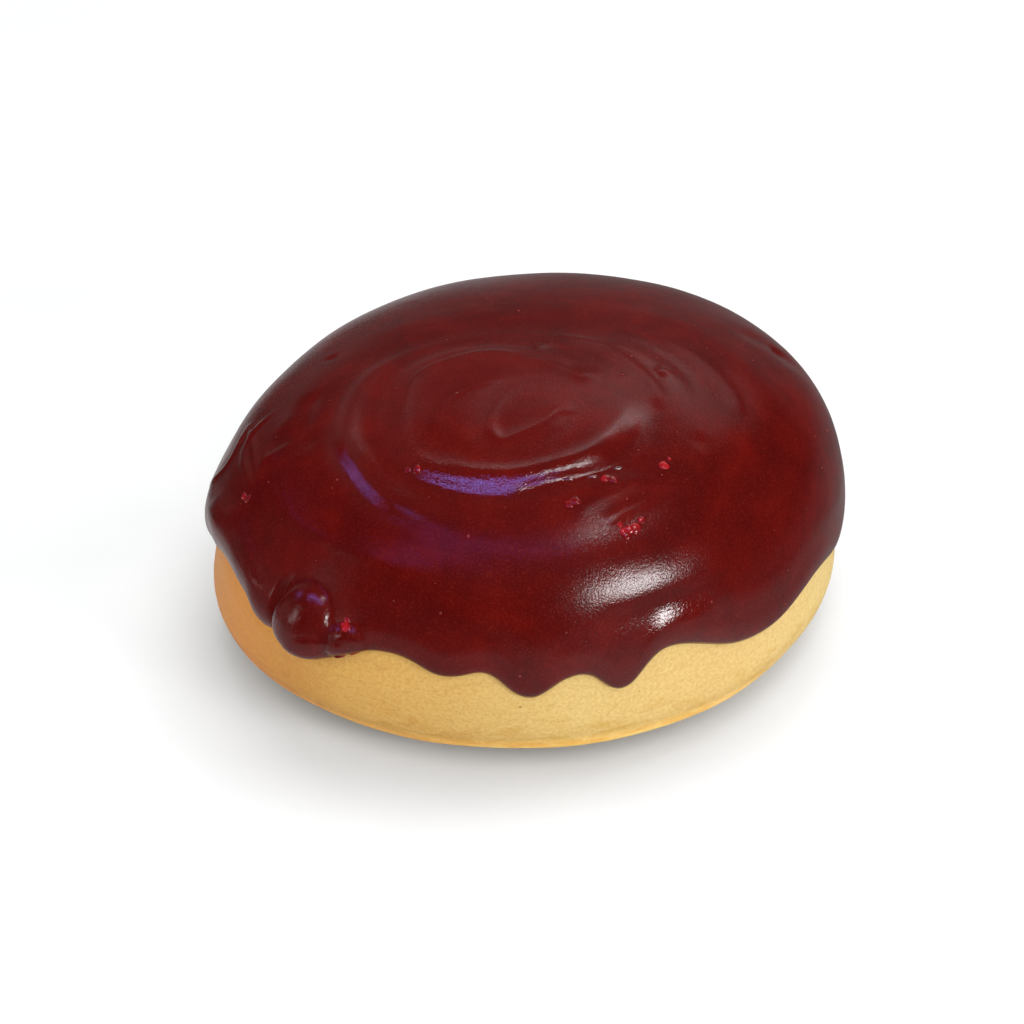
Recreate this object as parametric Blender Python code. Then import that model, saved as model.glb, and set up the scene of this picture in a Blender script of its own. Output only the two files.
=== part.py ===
"""Boston cream doughnut: a round fried yeast bun under a poured cap of dark chocolate icing.

Two solids. The dough is one plump closed bun with a small flat foot. The icing is one closed
shell that lies over the bun, a hair off it, with a swirl on top, drips round its lower edge,
a folded lip and two lumps at the front left.

The bun is described by the azimuth (an angle about the upright axis, -90 degrees at the front)
and by the distance walked down its side from the very top.
"""

from collections import namedtuple

import bmesh
import bpy
import numpy as np

MM = 0.001

# ---- the bun, in millimetres ----
BUN_RADIUS = 45.6            # mean radius at the widest level
DOME_HEIGHT = 27.5           # from the widest level up to the top
BASE_DEPTH = 17.8            # from the widest level down to the lowest point, before the flat
DOME_FULLNESS = 2.56         # 2 would be an ellipse, more is squarer at the shoulder
BASE_FULLNESS = 3.95
FOOT_SHARE = 0.50            # flat foot's radius as a share of the bun's
DOME_LEAN = (4.2, 1.4)       # the top sits this far to the right and back of the widest level
BASE_SHIFT = (2.9, 0.6)      # and the foot this far
SEAT = (-0.49, -0.07)        # the widest level's centre, over the origin

# ---- the plan isn't round: share of the radius, number of sides, azimuth of a side's crest ----
Bulge = namedtuple("Bulge", "share sides crest")
PLAN_BULGES = (Bulge(0.039, 2, 42.0), Bulge(0.008, 3, 112.0), Bulge(0.008, 4, 48.0))
FOOT_BULGES = (Bulge(0.099, 2, 19.0), Bulge(0.079, 3, 49.5))  # added on the way down to the foot

# ---- gentle unevenness of fried dough: height, waves round, waves down, azimuth of a crest ----
Swell = namedtuple("Swell", "height around down crest")
SWELLS = (
    Swell(0.17, 2, 0.6, -38.0),
    Swell(0.09, 4, 0.8, 35.0),
    Swell(0.08, 5, 1.4, 17.0),
    Swell(0.05, 11, 3.1, 80.0),
)

# ---- the icing, in millimetres ----
GAP = 0.3                    # air between dough and icing
ICING_DEPTH = 1.3            # its outer skin stands this far off the dough on the dome
RIM = 1.9                    # the lower edge rounds over within this distance
BEAD = (0.35, 3.2, 2.4)      # icing gathers near the edge: extra depth, distance up, spread
EDGE_LEVEL = 4.6             # the edge's usual height over the widest level

# ---- runs of the edge: azimuth, half width in degrees, how far down it runs (up if negative) ----
Run = namedtuple("Run", "azimuth half down")
RUNS = (
    Run(-167.8, 5.0, 1.6),
    Run(-152.3, 5.0, -1.0),
    Run(-138.8, 4.0, 2.1),
    Run(-127.7, 7.3, 3.1),
    Run(-113.9, 5.3, -0.7),
    Run(-103.2, 4.8, 1.6),
    Run(-81.1, 12.0, 2.1),
    Run(-89.7, 5.2, 3.6),
    Run(-72.4, 4.8, 4.2),
    Run(-43.3, 14.9, 4.8),
    Run(-9.3, 15.0, 3.9),
    Run(24.0, 7.0, 4.9),
    Run(43.0, 10.0, 2.4),
    Run(63.0, 6.0, 5.6),
    Run(84.0, 9.0, 2.0),
    Run(104.0, 6.5, 4.6),
    Run(128.0, 10.0, 3.4),
    Run(150.0, 5.5, 3.0),
    Run(172.0, 7.0, 1.2),
)
RUN_ROUNDNESS = 2.4

# ---- folded lip at the left: azimuth, half width, width of its turned-under face, extra depth ----
FOLD = (-157.0, 20.0, 5.4, 1.25)

# ---- lumps: azimuth, level over the widest level, half widths across and down, height ----
Lump = namedtuple("Lump", "azimuth level across down height")
LUMPS = (
    Lump(-128.8, 5.7, 4.6, 5.8, 2.5),
    Lump(-120.4, 5.6, 2.8, 2.6, 1.2),
    Lump(-121.5, 2.8, 7.0, 3.0, 0.5),
)

# ---- the swirl: turns walked clockwise, each a crest whose outer side drops to a shallow trough ----
# points: x, y and how strong the turn is there; crest height, trough depth, how far the crest
# falls away inwards, width of the drop, how far the trough rises again outwards
Turn = namedtuple("Turn", "points crest trough inner wall outer")
HEART = (-1.0, -16.0)        # the swirl winds about this point
TURNS = (
    # the small loop at the heart
    Turn(((8.3, -16.9, 0.0), (4.8, -17.2, 0.5), (3.6, -19.8, 0.9), (0.0, -21.6, 1.0), (-3.4, -22.4, 1.0),
          (-5.4, -20.1, 0.8), (-5.0, -15.9, 0.6), (-3.0, -12.6, 0.5), (1.0, -11.3, 0.4), (5.0, -12.2, 0.0)),
         0.05, 0.03, 1.1, 1.6, 1.8),
    # the ring, with a steep wall at the front
    Turn(((14.9, -13.2, 0.0), (13.9, -17.8, 0.6), (11.8, -21.4, 0.9), (8.9, -24.4, 1.0), (4.8, -26.7, 1.0),
          (0.7, -28.1, 1.0), (-3.4, -28.5, 1.0), (-7.6, -27.9, 1.0), (-11.2, -26.6, 0.95),
          (-13.7, -25.1, 0.85), (-15.4, -22.6, 0.6), (-16.2, -18.5, 0.4), (-16.2, -12.4, 0.35),
          (-15.9, -8.6, 0.35), (-14.9, -5.3, 0.35), (-12.6, -3.0, 0.3), (-9.0, -1.6, 0.3), (-3.6, -1.4, 0.3),
          (2.1, -3.1, 0.25), (6.4, -5.3, 0.1), (9.0, -9.4, 0.0)),
         0.45, 0.38, 2.0, 3.3, 2.6),
    # the second ridge, steep on its outer side
    Turn(((17.5, -34.4, 0.0), (10.7, -36.6, 0.1), (1.6, -38.1, 0.1), (-6.0, -36.6, 0.15), (-10.0, -34.9, 0.3),
          (-13.4, -32.9, 0.65), (-16.9, -30.4, 1.0), (-19.3, -27.8, 1.0), (-21.1, -24.9, 1.0),
          (-22.7, -21.9, 1.0), (-23.9, -18.7, 0.9), (-24.2, -14.0, 0.6), (-23.4, -8.5, 0.4),
          (-21.0, -3.5, 0.3), (-16.2, 0.0, 0.2), (-10.0, 2.2, 0.2), (-3.6, 2.9, 0.2), (5.1, 2.4, 0.2),
          (13.6, 0.2, 0.25), (18.4, -3.9, 0.3), (21.0, -8.0, 0.25), (21.7, -12.2, 0.1), (20.9, -16.4, 0.0)),
         0.42, 0.20, 2.0, 2.6, 3.0),
    # the third, low at the front left
    Turn(((-2.0, -42.0, 0.0), (-6.0, -41.4, 0.5), (-11.3, -39.9, 0.8), (-18.0, -37.0, 1.0),
          (-22.2, -34.2, 1.0), (-26.1, -31.6, 1.0), (-30.8, -27.1, 1.0), (-33.5, -23.0, 1.0),
          (-35.0, -18.5, 0.9), (-34.6, -13.0, 0.8), (-33.4, -7.0, 0.6), (-30.5, -1.0, 0.4),
          (-26.0, 4.5, 0.25), (-20.0, 8.5, 0.2), (-12.0, 10.8, 0.15), (-3.0, 11.8, 0.1), (8.0, 11.6, 0.1),
          (17.5, 10.5, 0.2), (25.6, 6.6, 0.3), (31.1, 0.4, 0.35), (33.6, -5.2, 0.25), (34.6, -10.3, 0.0)),
         0.24, 0.08, 2.6, 4.6, 3.4),
)

# ---- mesh layout ----
ICING_COLUMNS = 104
COLUMN_CROWDING = 0.40       # columns stand closer at the front, where the drips are small
SWIRL_FOCUS = (-5.2, -16.2)  # rings of the icing mesh are centred here near the top
DOUGH_COLUMNS = 72
DOUGH_ROWS = 31


def fall(x):
    """Smooth step from 0 to 1 as x goes from 0 to 1."""
    x = np.clip(x, 0.0, 1.0)
    return x * x * (3.0 - 2.0 * x)


def turn_between(a, b):
    """Signed angle from b to a in degrees, within half a turn."""
    return (np.degrees(a) - b + 180.0) % 360.0 - 180.0


def half_profile(angle, height, fullness):
    """Radius share and height of a rounded profile at a polar angle in radians."""
    c = np.abs(np.cos(angle))
    s = np.abs(np.sin(angle))
    reach = (c ** fullness + s ** fullness) ** (-1.0 / fullness)
    return reach * c, np.sign(angle) * height * reach * s


def mean_profile(angle):
    """Radius share and height of the bun's mean profile, +90 degrees at the top."""
    r_up, z_up = half_profile(angle, DOME_HEIGHT, DOME_FULLNESS)
    r_down, z_down = half_profile(angle, BASE_DEPTH, BASE_FULLNESS)
    up = angle >= 0.0
    return np.where(up, r_up, r_down), np.where(up, z_up, z_down)


def profile_table(steps=1600):
    """Distance walked down the mean profile against the polar angle."""
    angle = np.linspace(np.pi / 2, -np.pi / 2, steps)
    r, z = mean_profile(angle)
    walked = np.concatenate(([0.0], np.cumsum(np.hypot(np.diff(r * BUN_RADIUS), np.diff(z)))))
    return angle, walked, r, z


TABLE_ANGLE, TABLE_WALK, TABLE_SHARE, TABLE_LEVEL = profile_table()
LOWER = TABLE_ANGLE < 0.0
FOOT_WALK = np.interp(FOOT_SHARE, TABLE_SHARE[LOWER][::-1], TABLE_WALK[LOWER][::-1])
FOOT_LEVEL = np.interp(FOOT_WALK, TABLE_WALK, TABLE_LEVEL)


def walk_at_level(level):
    """Distance walked down from the top to a height over the widest level."""
    return np.interp(-np.asarray(level), -TABLE_LEVEL, TABLE_WALK)


def bulge_share(bulges, azimuth):
    """Sum of the plan's bulges at an azimuth, as a share of the mean radius."""
    return sum(b.share * np.cos(b.sides * (azimuth - np.radians(b.crest))) for b in bulges)


def smooth_bun(azimuth, walked):
    """Points of the bun before its unevenness, in millimetres."""
    angle = np.interp(walked, TABLE_WALK, TABLE_ANGLE)
    share, z = mean_profile(angle)
    lean = np.clip(z / DOME_HEIGHT, 0.0, 1.0) ** 1.5
    low = np.clip(-z / BASE_DEPTH, 0.0, 1.0)
    plan = 1.0 + bulge_share(PLAN_BULGES, azimuth) + low * bulge_share(FOOT_BULGES, azimuth)
    reach = BUN_RADIUS * share * plan
    x = reach * np.cos(azimuth) + DOME_LEAN[0] * lean + BASE_SHIFT[0] * low
    y = reach * np.sin(azimuth) + DOME_LEAN[1] * lean + BASE_SHIFT[1] * low
    return np.stack([x, y, z], axis=-1)


def unevenness(azimuth, walked):
    """Gentle swelling of the dough, none at the top's centre and at the foot."""
    total = TABLE_WALK[-1]
    fade = fall(walked / 48.0) * fall((FOOT_WALK - walked) / 16.0)
    height = np.zeros_like(azimuth)
    for s in SWELLS:
        wave = np.cos(s.around * (azimuth - np.radians(s.crest)) + s.down * 2 * np.pi * walked / total)
        height = height + s.height * wave
    return height * fade


def outward(azimuth, walked, step=0.02):
    """Unit normals of the smooth bun; straight up at the very top."""
    near = np.maximum(walked, 0.4)
    along = smooth_bun(azimuth, near + step) - smooth_bun(azimuth, near - step)
    around = smooth_bun(azimuth + 0.002, near) - smooth_bun(azimuth - 0.002, near)
    normal = np.cross(along, around)
    normal /= np.linalg.norm(normal, axis=-1, keepdims=True)
    top = (walked < 0.4)[..., None]
    return np.where(top, np.array([0.0, 0.0, 1.0]), normal)


def bun(azimuth, walked, off):
    """Points at a distance off the bun's surface, in millimetres."""
    azimuth = np.asarray(azimuth, dtype=float)
    walked = np.broadcast_to(np.asarray(walked, dtype=float), azimuth.shape)
    lift = unevenness(azimuth, walked) + off
    return smooth_bun(azimuth, walked) + outward(azimuth, walked) * np.asarray(lift)[..., None]


def edge_level(azimuth):
    """Height of the icing's edge over the widest level."""
    level = np.full_like(azimuth, EDGE_LEVEL)
    for run in RUNS:
        away = np.abs(turn_between(azimuth, run.azimuth) / run.half)
        level = level - run.down * np.exp(-away ** RUN_ROUNDNESS)
    return level


def edge_walk(azimuth):
    """Distance from the top down to the icing's edge."""
    return walk_at_level(edge_level(azimuth))


def edge_slant(azimuth):
    """How much nearer the edge is sideways than straight down, between 0 and 1."""
    rise = (edge_walk(azimuth + 0.01) - edge_walk(azimuth - 0.01)) / (0.02 * BUN_RADIUS)
    return 1.0 / np.sqrt(1.0 + rise ** 2)


def smooth_path(points, per_span=14):
    """Points of a smooth curve through the given ones (Catmull-Rom)."""
    p = np.vstack([2 * points[0] - points[1], points, 2 * points[-1] - points[-2]])
    t = np.linspace(0.0, 1.0, per_span, endpoint=False)[:, None]
    spans = []
    for a, b, c, d in zip(p, p[1:], p[2:], p[3:]):
        bend = (2 * a - 5 * b + 4 * c - d) * t ** 2 + (3 * b - a - 3 * c + d) * t ** 3
        spans.append(0.5 * (2 * b + (c - a) * t + bend))
    return np.vstack([*spans, points[-1:]])


def about_heart(x, y):
    """Angle and distance about the swirl's heart."""
    dx = x - HEART[0]
    dy = y - HEART[1]
    return np.arctan2(dy, dx), np.hypot(dx, dy)


def swirl_relief(x, y):
    """Height of the swirl over the icing's mean surface."""
    angle, here = about_heart(x, y)
    height = np.zeros_like(x)
    for turn in TURNS:
        path = smooth_path(np.array(turn.points))
        path_angle, reach = about_heart(path[:, 0], path[:, 1])
        path_angle = np.unwrap(path_angle)
        turned = path_angle[0] - path_angle
        strong = np.clip(path[:, 2], 0.0, 1.0)
        way = (path_angle[0] - angle) % (2 * np.pi)
        out = here - np.interp(way, turned, reach)
        inner = np.exp(-(np.minimum(out, 0.0) / turn.inner) ** 2)
        crossing = fall(out / turn.wall)
        outer = np.exp(-(np.maximum(out - turn.wall, 0.0) / turn.outer) ** 2)
        shape = turn.crest * inner * (1.0 - crossing) - turn.trough * outer * crossing
        height = height + shape * np.interp(way, turned, strong, right=0.0)
    return height


def lump_relief(azimuth, walked):
    """Height of the lumps of thick icing."""
    height = np.zeros_like(azimuth)
    for lump in LUMPS:
        across = np.radians(turn_between(azimuth, lump.azimuth)) * BUN_RADIUS / lump.across
        down = (walked - walk_at_level(lump.level)) / lump.down
        height = height + lump.height * np.clip(1.0 - across ** 2 - down ** 2, 0.0, 1.0) ** 0.6
    return height


def icing_offset(azimuth, walked):
    """Distance of the icing's outer skin off the bun."""
    down = np.maximum(edge_walk(azimuth) - walked, 0.0)
    to_edge = down * (1.0 - (1.0 - edge_slant(azimuth)) * np.exp(-(down / 4.0) ** 2))
    in_fold = np.exp(-np.abs(turn_between(azimuth, FOLD[0]) / FOLD[1]) ** 4)
    rim = RIM + (FOLD[2] - RIM) * in_fold
    fold_depth = FOLD[3] * in_fold * np.exp(-(np.maximum(to_edge - 0.7 * rim, 0.0) / 3.4) ** 2)
    bead = BEAD[0] * np.exp(-((to_edge - BEAD[1]) / BEAD[2]) ** 2) * (1.0 - in_fold)
    flat = smooth_bun(azimuth, walked)
    relief = swirl_relief(flat[..., 0], flat[..., 1]) * fall(to_edge / 16.0)
    depth = ICING_DEPTH - GAP + bead + fold_depth + relief + lump_relief(azimuth, walked)
    inset = 1.0 - np.clip(to_edge / rim, 0.0, 1.0)
    return GAP + depth * np.sqrt(np.maximum(1.0 - inset ** 2, 0.0))


def icing_columns(count):
    """Azimuths of the icing's columns, closer together at the front."""
    even = np.arange(count) * 2 * np.pi / count
    return even - COLUMN_CROWDING * np.cos(even)


def focused(t, columns):
    """Azimuth and share of the way to the edge, for a ring that slides towards the swirl."""
    reach = 0.5 * np.pi * BUN_RADIUS * 0.93
    slide = 1.0 - fall(t)
    px = t * np.cos(columns) + SWIRL_FOCUS[0] / reach * slide
    py = t * np.sin(columns) + SWIRL_FOCUS[1] / reach * slide
    return np.arctan2(py, px), np.hypot(px, py)


def ring_of_icing(t, columns):
    """One ring of points on the icing's outer skin."""
    azimuth, share = focused(t, columns)
    walked = share * edge_walk(azimuth)
    return bun(azimuth, walked, icing_offset(azimuth, walked))


def seated(point):
    """A point in metres, with the origin under the middle of the foot's level."""
    return (np.asarray(point) + np.array([SEAT[0], SEAT[1], -FOOT_LEVEL])) * MM


def add_ring(bm, points):
    """Put a ring of points, given in millimetres, into the mesh."""
    return [bm.verts.new(seated(p)) for p in points]


def join_rings(bm, outer, inner):
    """Skin between two rings of equal size, or where the inner has half as many points."""
    n, m = len(outer), len(inner)
    for i in range(m):
        a, b = inner[i], inner[(i + 1) % m]
        if n == m:
            c, d = outer[i], outer[(i + 1) % m]
            if (a.co - d.co).length <= (b.co - c.co).length:
                bm.faces.new((a, c, d))
                bm.faces.new((a, d, b))
            else:
                bm.faces.new((a, c, b))
                bm.faces.new((b, c, d))
        else:
            c, d, e = outer[2 * i], outer[2 * i + 1], outer[(2 * i + 2) % n]
            bm.faces.new((a, c, d))
            bm.faces.new((a, d, b))
            bm.faces.new((b, d, e))


def close_ring(bm, ring, point):
    """Close a small ring with a fan to one point, given in millimetres."""
    tip = bm.verts.new(seated(point))
    for i in range(len(ring)):
        bm.faces.new((tip, ring[i], ring[(i + 1) % len(ring)]))


def finish_object(bm, name, material):
    """Turn a bmesh into a named, smooth-shaded object with faces outward."""
    bmesh.ops.recalc_face_normals(bm, faces=bm.faces)
    mesh = bpy.data.meshes.new(name)
    bm.to_mesh(mesh)
    bm.free()
    mesh.shade_smooth()
    mesh.materials.append(material)
    obj = bpy.data.objects.new(name, mesh)
    bpy.context.scene.collection.objects.link(obj)
    return obj


def make_material(name, colour, roughness):
    """A plain Principled surface."""
    material = bpy.data.materials.new(name)
    material.use_nodes = True
    shader = material.node_tree.nodes["Principled BSDF"]
    shader.inputs["Base Color"].default_value = (*colour, 1.0)
    shader.inputs["Roughness"].default_value = roughness
    shader.inputs["Metallic"].default_value = 0.0
    return material


def build_dough():
    """The bun: rings from the top down to the flat foot."""
    bm = bmesh.new()
    columns = np.arange(DOUGH_COLUMNS) * 2 * np.pi / DOUGH_COLUMNS
    rows = np.linspace(0.0, FOOT_WALK, DOUGH_ROWS + 1)[1:]
    rings = []
    for walked in rows:
        sparse = 4 if walked < 5.0 else 2 if walked < 16.0 else 1
        azimuth = columns[::sparse]
        rings.append(bun(azimuth, walked, np.zeros_like(azimuth)))
    rings[-1][:, 2] = FOOT_LEVEL
    made = [add_ring(bm, ring) for ring in rings]
    for upper, lower in zip(made, made[1:]):
        join_rings(bm, lower, upper)
    close_ring(bm, made[0], bun(np.array([0.0]), 0.0, np.zeros(1))[0])
    middle = rings[-1].mean(axis=0)
    around = made[-1]
    for share, sparse in ((0.62, 2), (0.28, 4)):
        inner = add_ring(bm, middle + (rings[-1][::sparse] - middle) * share)
        join_rings(bm, around, inner)
        around = inner
    close_ring(bm, around, middle)
    material = make_material("golden fried dough", (0.78, 0.46, 0.17), 0.55)
    return finish_object(bm, "dough", material)


def build_icing():
    """The icing: outer skin, rounded lower edge, and the skin that faces the dough."""
    bm = bmesh.new()
    columns = icing_columns(ICING_COLUMNS)
    inner_steps = np.concatenate((np.linspace(0.022, 0.44, 20), np.linspace(0.475, 0.93, 13)))
    rings = []
    for t in inner_steps:
        sparse = 4 if t < 0.05 else 2 if t < 0.2 else 1
        rings.append(add_ring(bm, ring_of_icing(t, columns[::sparse])))
    edge = edge_walk(columns)
    for up in (2.2, 1.3, 0.65, 0.2):
        walked = edge - up
        rings.append(add_ring(bm, bun(columns, walked, icing_offset(columns, walked))))
    rings.append(add_ring(bm, bun(columns, edge, np.full_like(columns, GAP))))
    for upper, lower in zip(rings, rings[1:]):
        join_rings(bm, lower, upper)
    centre_azimuth, centre_share = focused(0.0, columns[:1])
    walked = centre_share * edge_walk(centre_azimuth)
    close_ring(bm, rings[0], bun(centre_azimuth, walked, icing_offset(centre_azimuth, walked))[0])
    above = rings[-1]
    for share in (0.955, 0.91, 0.86, 0.81, 0.76, 0.71, 0.66, 0.61, 0.55, 0.48, 0.40, 0.31, 0.22, 0.13, 0.05):
        sparse = 4 if share < 0.1 else 2 if share < 0.35 else 1
        azimuth = columns[::sparse]
        facing = add_ring(bm, bun(azimuth, share * edge_walk(azimuth), np.full_like(azimuth, GAP)))
        join_rings(bm, above, facing)
        above = facing
    close_ring(bm, above, bun(np.array([0.0]), 0.0, np.full(1, GAP))[0])
    material = make_material("dark chocolate icing", (0.085, 0.018, 0.012), 0.3)
    return finish_object(bm, "icing", material)


def main():
    """Clear the scene and build the doughnut."""
    for old in list(bpy.data.objects):
        bpy.data.objects.remove(old, do_unlink=True)
    build_dough()
    build_icing()


main()
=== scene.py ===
"""Boston cream doughnut: a pale gold fried bun under a poured cap of dark chocolate icing.

The bun and the icing's cap are modelled again here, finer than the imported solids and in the
same place: the swirl that the spoon left, the folded lip and the lumps at the front left, the
drips round the lower edge. Loose detail is added on them: beads of glaze, red bits and sugar
grains on the icing, and dark specks on the fried crust.

Lengths in the forms are millimetres about the middle of the bun's widest level. An azimuth is
an angle about the upright axis in degrees, -90 at the front, and a walk is the distance down
the bun's side from the very top.
"""

import logging
import math
from dataclasses import dataclass, field
from enum import Enum
from typing import Any

import bmesh
import bpy
import numpy as np
from mathutils import Matrix, Vector


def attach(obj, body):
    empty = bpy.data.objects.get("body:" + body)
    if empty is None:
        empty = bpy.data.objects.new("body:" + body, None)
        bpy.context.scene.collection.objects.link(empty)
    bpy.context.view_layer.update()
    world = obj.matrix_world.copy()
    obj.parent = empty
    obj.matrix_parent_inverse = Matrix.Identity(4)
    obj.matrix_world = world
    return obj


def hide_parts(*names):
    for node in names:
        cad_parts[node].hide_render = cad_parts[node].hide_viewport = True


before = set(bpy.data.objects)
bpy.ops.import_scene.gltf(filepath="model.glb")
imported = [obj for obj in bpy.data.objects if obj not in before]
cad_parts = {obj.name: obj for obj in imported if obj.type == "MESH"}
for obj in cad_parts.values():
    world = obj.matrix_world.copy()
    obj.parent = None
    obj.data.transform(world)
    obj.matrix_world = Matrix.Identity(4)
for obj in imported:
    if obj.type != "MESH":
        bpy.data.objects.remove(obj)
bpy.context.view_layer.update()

log = logging.getLogger("doughnut")

MM = 0.001
BODY = "root"
PHOTO_WIDTH = 1024           # pixels across the photograph
BUN_HALF = 47.0              # millimetres, half the bun's width
VIOLET = "#8488ff"           # the coloured lamps that the icing mirrors


class Slot(Enum):
    """The record's material slots."""

    DOUGH = "dough"
    ICING = "icing"


class Where(Enum):
    """What a stroke's points are given in."""

    PLAN = "x and y seen from above, in millimetres"
    SIDE = "azimuth in degrees and level in millimetres"


# ---------------------------------------------------------------- small tools


def fall(x: np.ndarray) -> np.ndarray:
    """Step smoothly from 0 to 1 as x goes from 0 to 1.

    Args:
        x: where to read the step.

    Returns:
        The step's height at each x.
    """
    x = np.clip(x, 0.0, 1.0)
    return x * x * (3.0 - 2.0 * x)


def sparseness(reach: float, limits: tuple[tuple[float, int], ...]) -> int:
    """Say how many times fewer points a ring near the middle has.

    Args:
        reach: how far out the ring is.
        limits: pairs of a reach and how many times fewer points lie within it, from the inside out.

    Returns:
        The first limit's number that the ring is within, or 1.
    """
    return next((times for limit, times in limits if reach < limit), 1)


def turn_between(a: np.ndarray, b: float) -> np.ndarray:
    """Give the signed turn from b to a, within half a turn.

    Args:
        a: angles in radians.
        b: an angle in degrees.

    Returns:
        The turns in degrees.
    """
    return (np.degrees(a) - b + 180.0) % 360.0 - 180.0


def linear(colour: str) -> tuple[float, float, float, float]:
    """Turn an sRGB hex colour to linear light.

    Args:
        colour: the colour as #rrggbb.

    Returns:
        Red, green, blue and an alpha of 1.
    """
    parts = [int(colour[i:i + 2], 16) / 255.0 for i in (1, 3, 5)]
    light = [c / 12.92 if c <= 0.04045 else ((c + 0.055) / 1.055) ** 2.4 for c in parts]
    return light[0], light[1], light[2], 1.0


def add(tree: bpy.types.NodeTree, kind: str, inputs: dict | None = None, **settings: Any) -> bpy.types.Node:
    """Add a node with its settings and links.

    Args:
        tree: the shader or geometry tree that gets the node.
        kind: the node's type name.
        inputs: what goes into its sockets, by name or number: a value, another node's socket, or
            another node for its first socket.
        **settings: the node's own properties.

    Returns:
        The new node.
    """
    node = tree.nodes.new(kind)
    for name, value in settings.items():
        setattr(node, name, value)
    for key, value in (inputs or {}).items():
        if isinstance(value, bpy.types.Node):
            value = value.outputs[0]
        if isinstance(value, bpy.types.NodeSocket):
            tree.links.new(value, node.inputs[key])
        else:
            node.inputs[key].default_value = value
    return node


def set_ramp(node: bpy.types.Node, stops: list[tuple[float, Any]]) -> bpy.types.NodeSocket:
    """Give a Color Ramp its stops.

    Args:
        node: the Color Ramp.
        stops: place and colour of each stop, the colour as a hex string or a grey value.

    Returns:
        The ramp's colour socket.
    """
    ramp = node.color_ramp
    while len(ramp.elements) < len(stops):
        ramp.elements.new(1.0)
    for element, (place, colour) in zip(ramp.elements, stops):
        element.position = place
        element.color = linear(colour) if isinstance(colour, str) else (colour, colour, colour, 1.0)
    return node.outputs["Color"]


def smooth_path(points: np.ndarray, per_span: int = 14) -> np.ndarray:
    """Lay a smooth curve through points (Catmull-Rom).

    Args:
        points: the points, one row each.
        per_span: how many steps between two points.

    Returns:
        The points of the curve.
    """
    p = np.vstack([2 * points[0] - points[1], points, 2 * points[-1] - points[-2]])
    t = np.linspace(0.0, 1.0, per_span, endpoint=False)[:, None]
    spans = []
    for a, b, c, d in zip(p, p[1:], p[2:], p[3:]):
        bend = (2 * a - 5 * b + 4 * c - d) * t ** 2 + (3 * b - a - 3 * c + d) * t ** 3
        spans.append(0.5 * (2 * b + (c - a) * t + bend))
    return np.vstack([*spans, points[-1:]])


def ring_faces(sizes: list[int]) -> list[tuple[int, ...]]:
    """Skin a stack of rings, each as large as the one before, twice, half, or a single point.

    Args:
        sizes: the number of points in each ring, in order.

    Returns:
        The faces as tuples of point numbers.
    """
    faces: list[tuple[int, ...]] = []
    start = 0
    for n, m in zip(sizes, sizes[1:]):
        one = start + np.arange(n)
        two = start + n + np.arange(m)
        flip = m < n
        few, many = (two, one) if flip else (one, two)
        after = np.roll(few, -1)
        if len(few) == 1:
            made = [np.stack([np.full_like(many, few[0]), many, np.roll(many, -1)], 1)]
        elif len(few) == len(many):
            made = [np.stack([few, many, np.roll(many, -1), after], 1)]
        else:
            even, odd = many[0::2], many[1::2]
            made = [
                np.stack([few, even, odd], 1),
                np.stack([few, odd, after], 1),
                np.stack([after, odd, np.roll(even, -1)], 1),
            ]
        for block in made:
            faces.extend(map(tuple, (block[:, ::-1] if flip else block).tolist()))
        start += n
    return faces


def skin_object(name: str, points: np.ndarray, faces: list[tuple[int, ...]]) -> bpy.types.Object:
    """Make a closed, smooth-shaded object, faces outward.

    Args:
        name: the object's name.
        points: its points in metres.
        faces: its faces as tuples of point numbers.

    Returns:
        The object, linked to the scene at the origin.
    """
    mesh = bpy.data.meshes.new(name)
    mesh.from_pydata(points.tolist(), [], faces)
    bm = bmesh.new()
    bm.from_mesh(mesh)
    bmesh.ops.recalc_face_normals(bm, faces=bm.faces)
    bm.to_mesh(mesh)
    bm.free()
    mesh.shade_smooth()
    return place_object(name, mesh)


def store(mesh: bpy.types.Mesh, name: str, values: np.ndarray) -> None:
    """Keep a number or a vector for each point of a mesh.

    Args:
        mesh: the mesh.
        name: the attribute's name.
        values: one value or one row of three for each point.
    """
    kind = "FLOAT" if values.ndim == 1 else "FLOAT_VECTOR"
    attribute = mesh.attributes.new(name, kind, "POINT")
    attribute.data.foreach_set("value" if values.ndim == 1 else "vector", values.astype(np.float32).ravel())


def place_object(name: str, data: bpy.types.ID) -> bpy.types.Object:
    """Make an object of a mesh, lamp or camera and link it to the scene.

    Args:
        name: the object's name.
        data: what it shows.

    Returns:
        The object, at the origin.
    """
    obj = bpy.data.objects.new(name, data)
    bpy.context.scene.collection.objects.link(obj)
    return obj


def run_tree(obj: bpy.types.Object, tree: bpy.types.NodeTree, values: dict[str, Any]) -> None:
    """Run a Geometry Nodes tree on an object and keep its result as the plain mesh.

    Args:
        obj: the object whose mesh goes in and comes out.
        tree: the tree.
        values: the tree's inputs by their names.
    """
    modifier = obj.modifiers.new("shape", "NODES")
    modifier.node_group = tree
    for item in tree.interface.items_tree:
        if item.item_type == "SOCKET" and item.in_out == "INPUT" and item.name in values:
            modifier[item.identifier] = values[item.name]
    graph = bpy.context.evaluated_depsgraph_get()
    made = bpy.data.meshes.new_from_object(
        obj.evaluated_get(graph), preserve_all_data_layers=True, depsgraph=graph
    )
    obj.modifiers.clear()
    obj.data = made
    made.shade_smooth()


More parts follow.
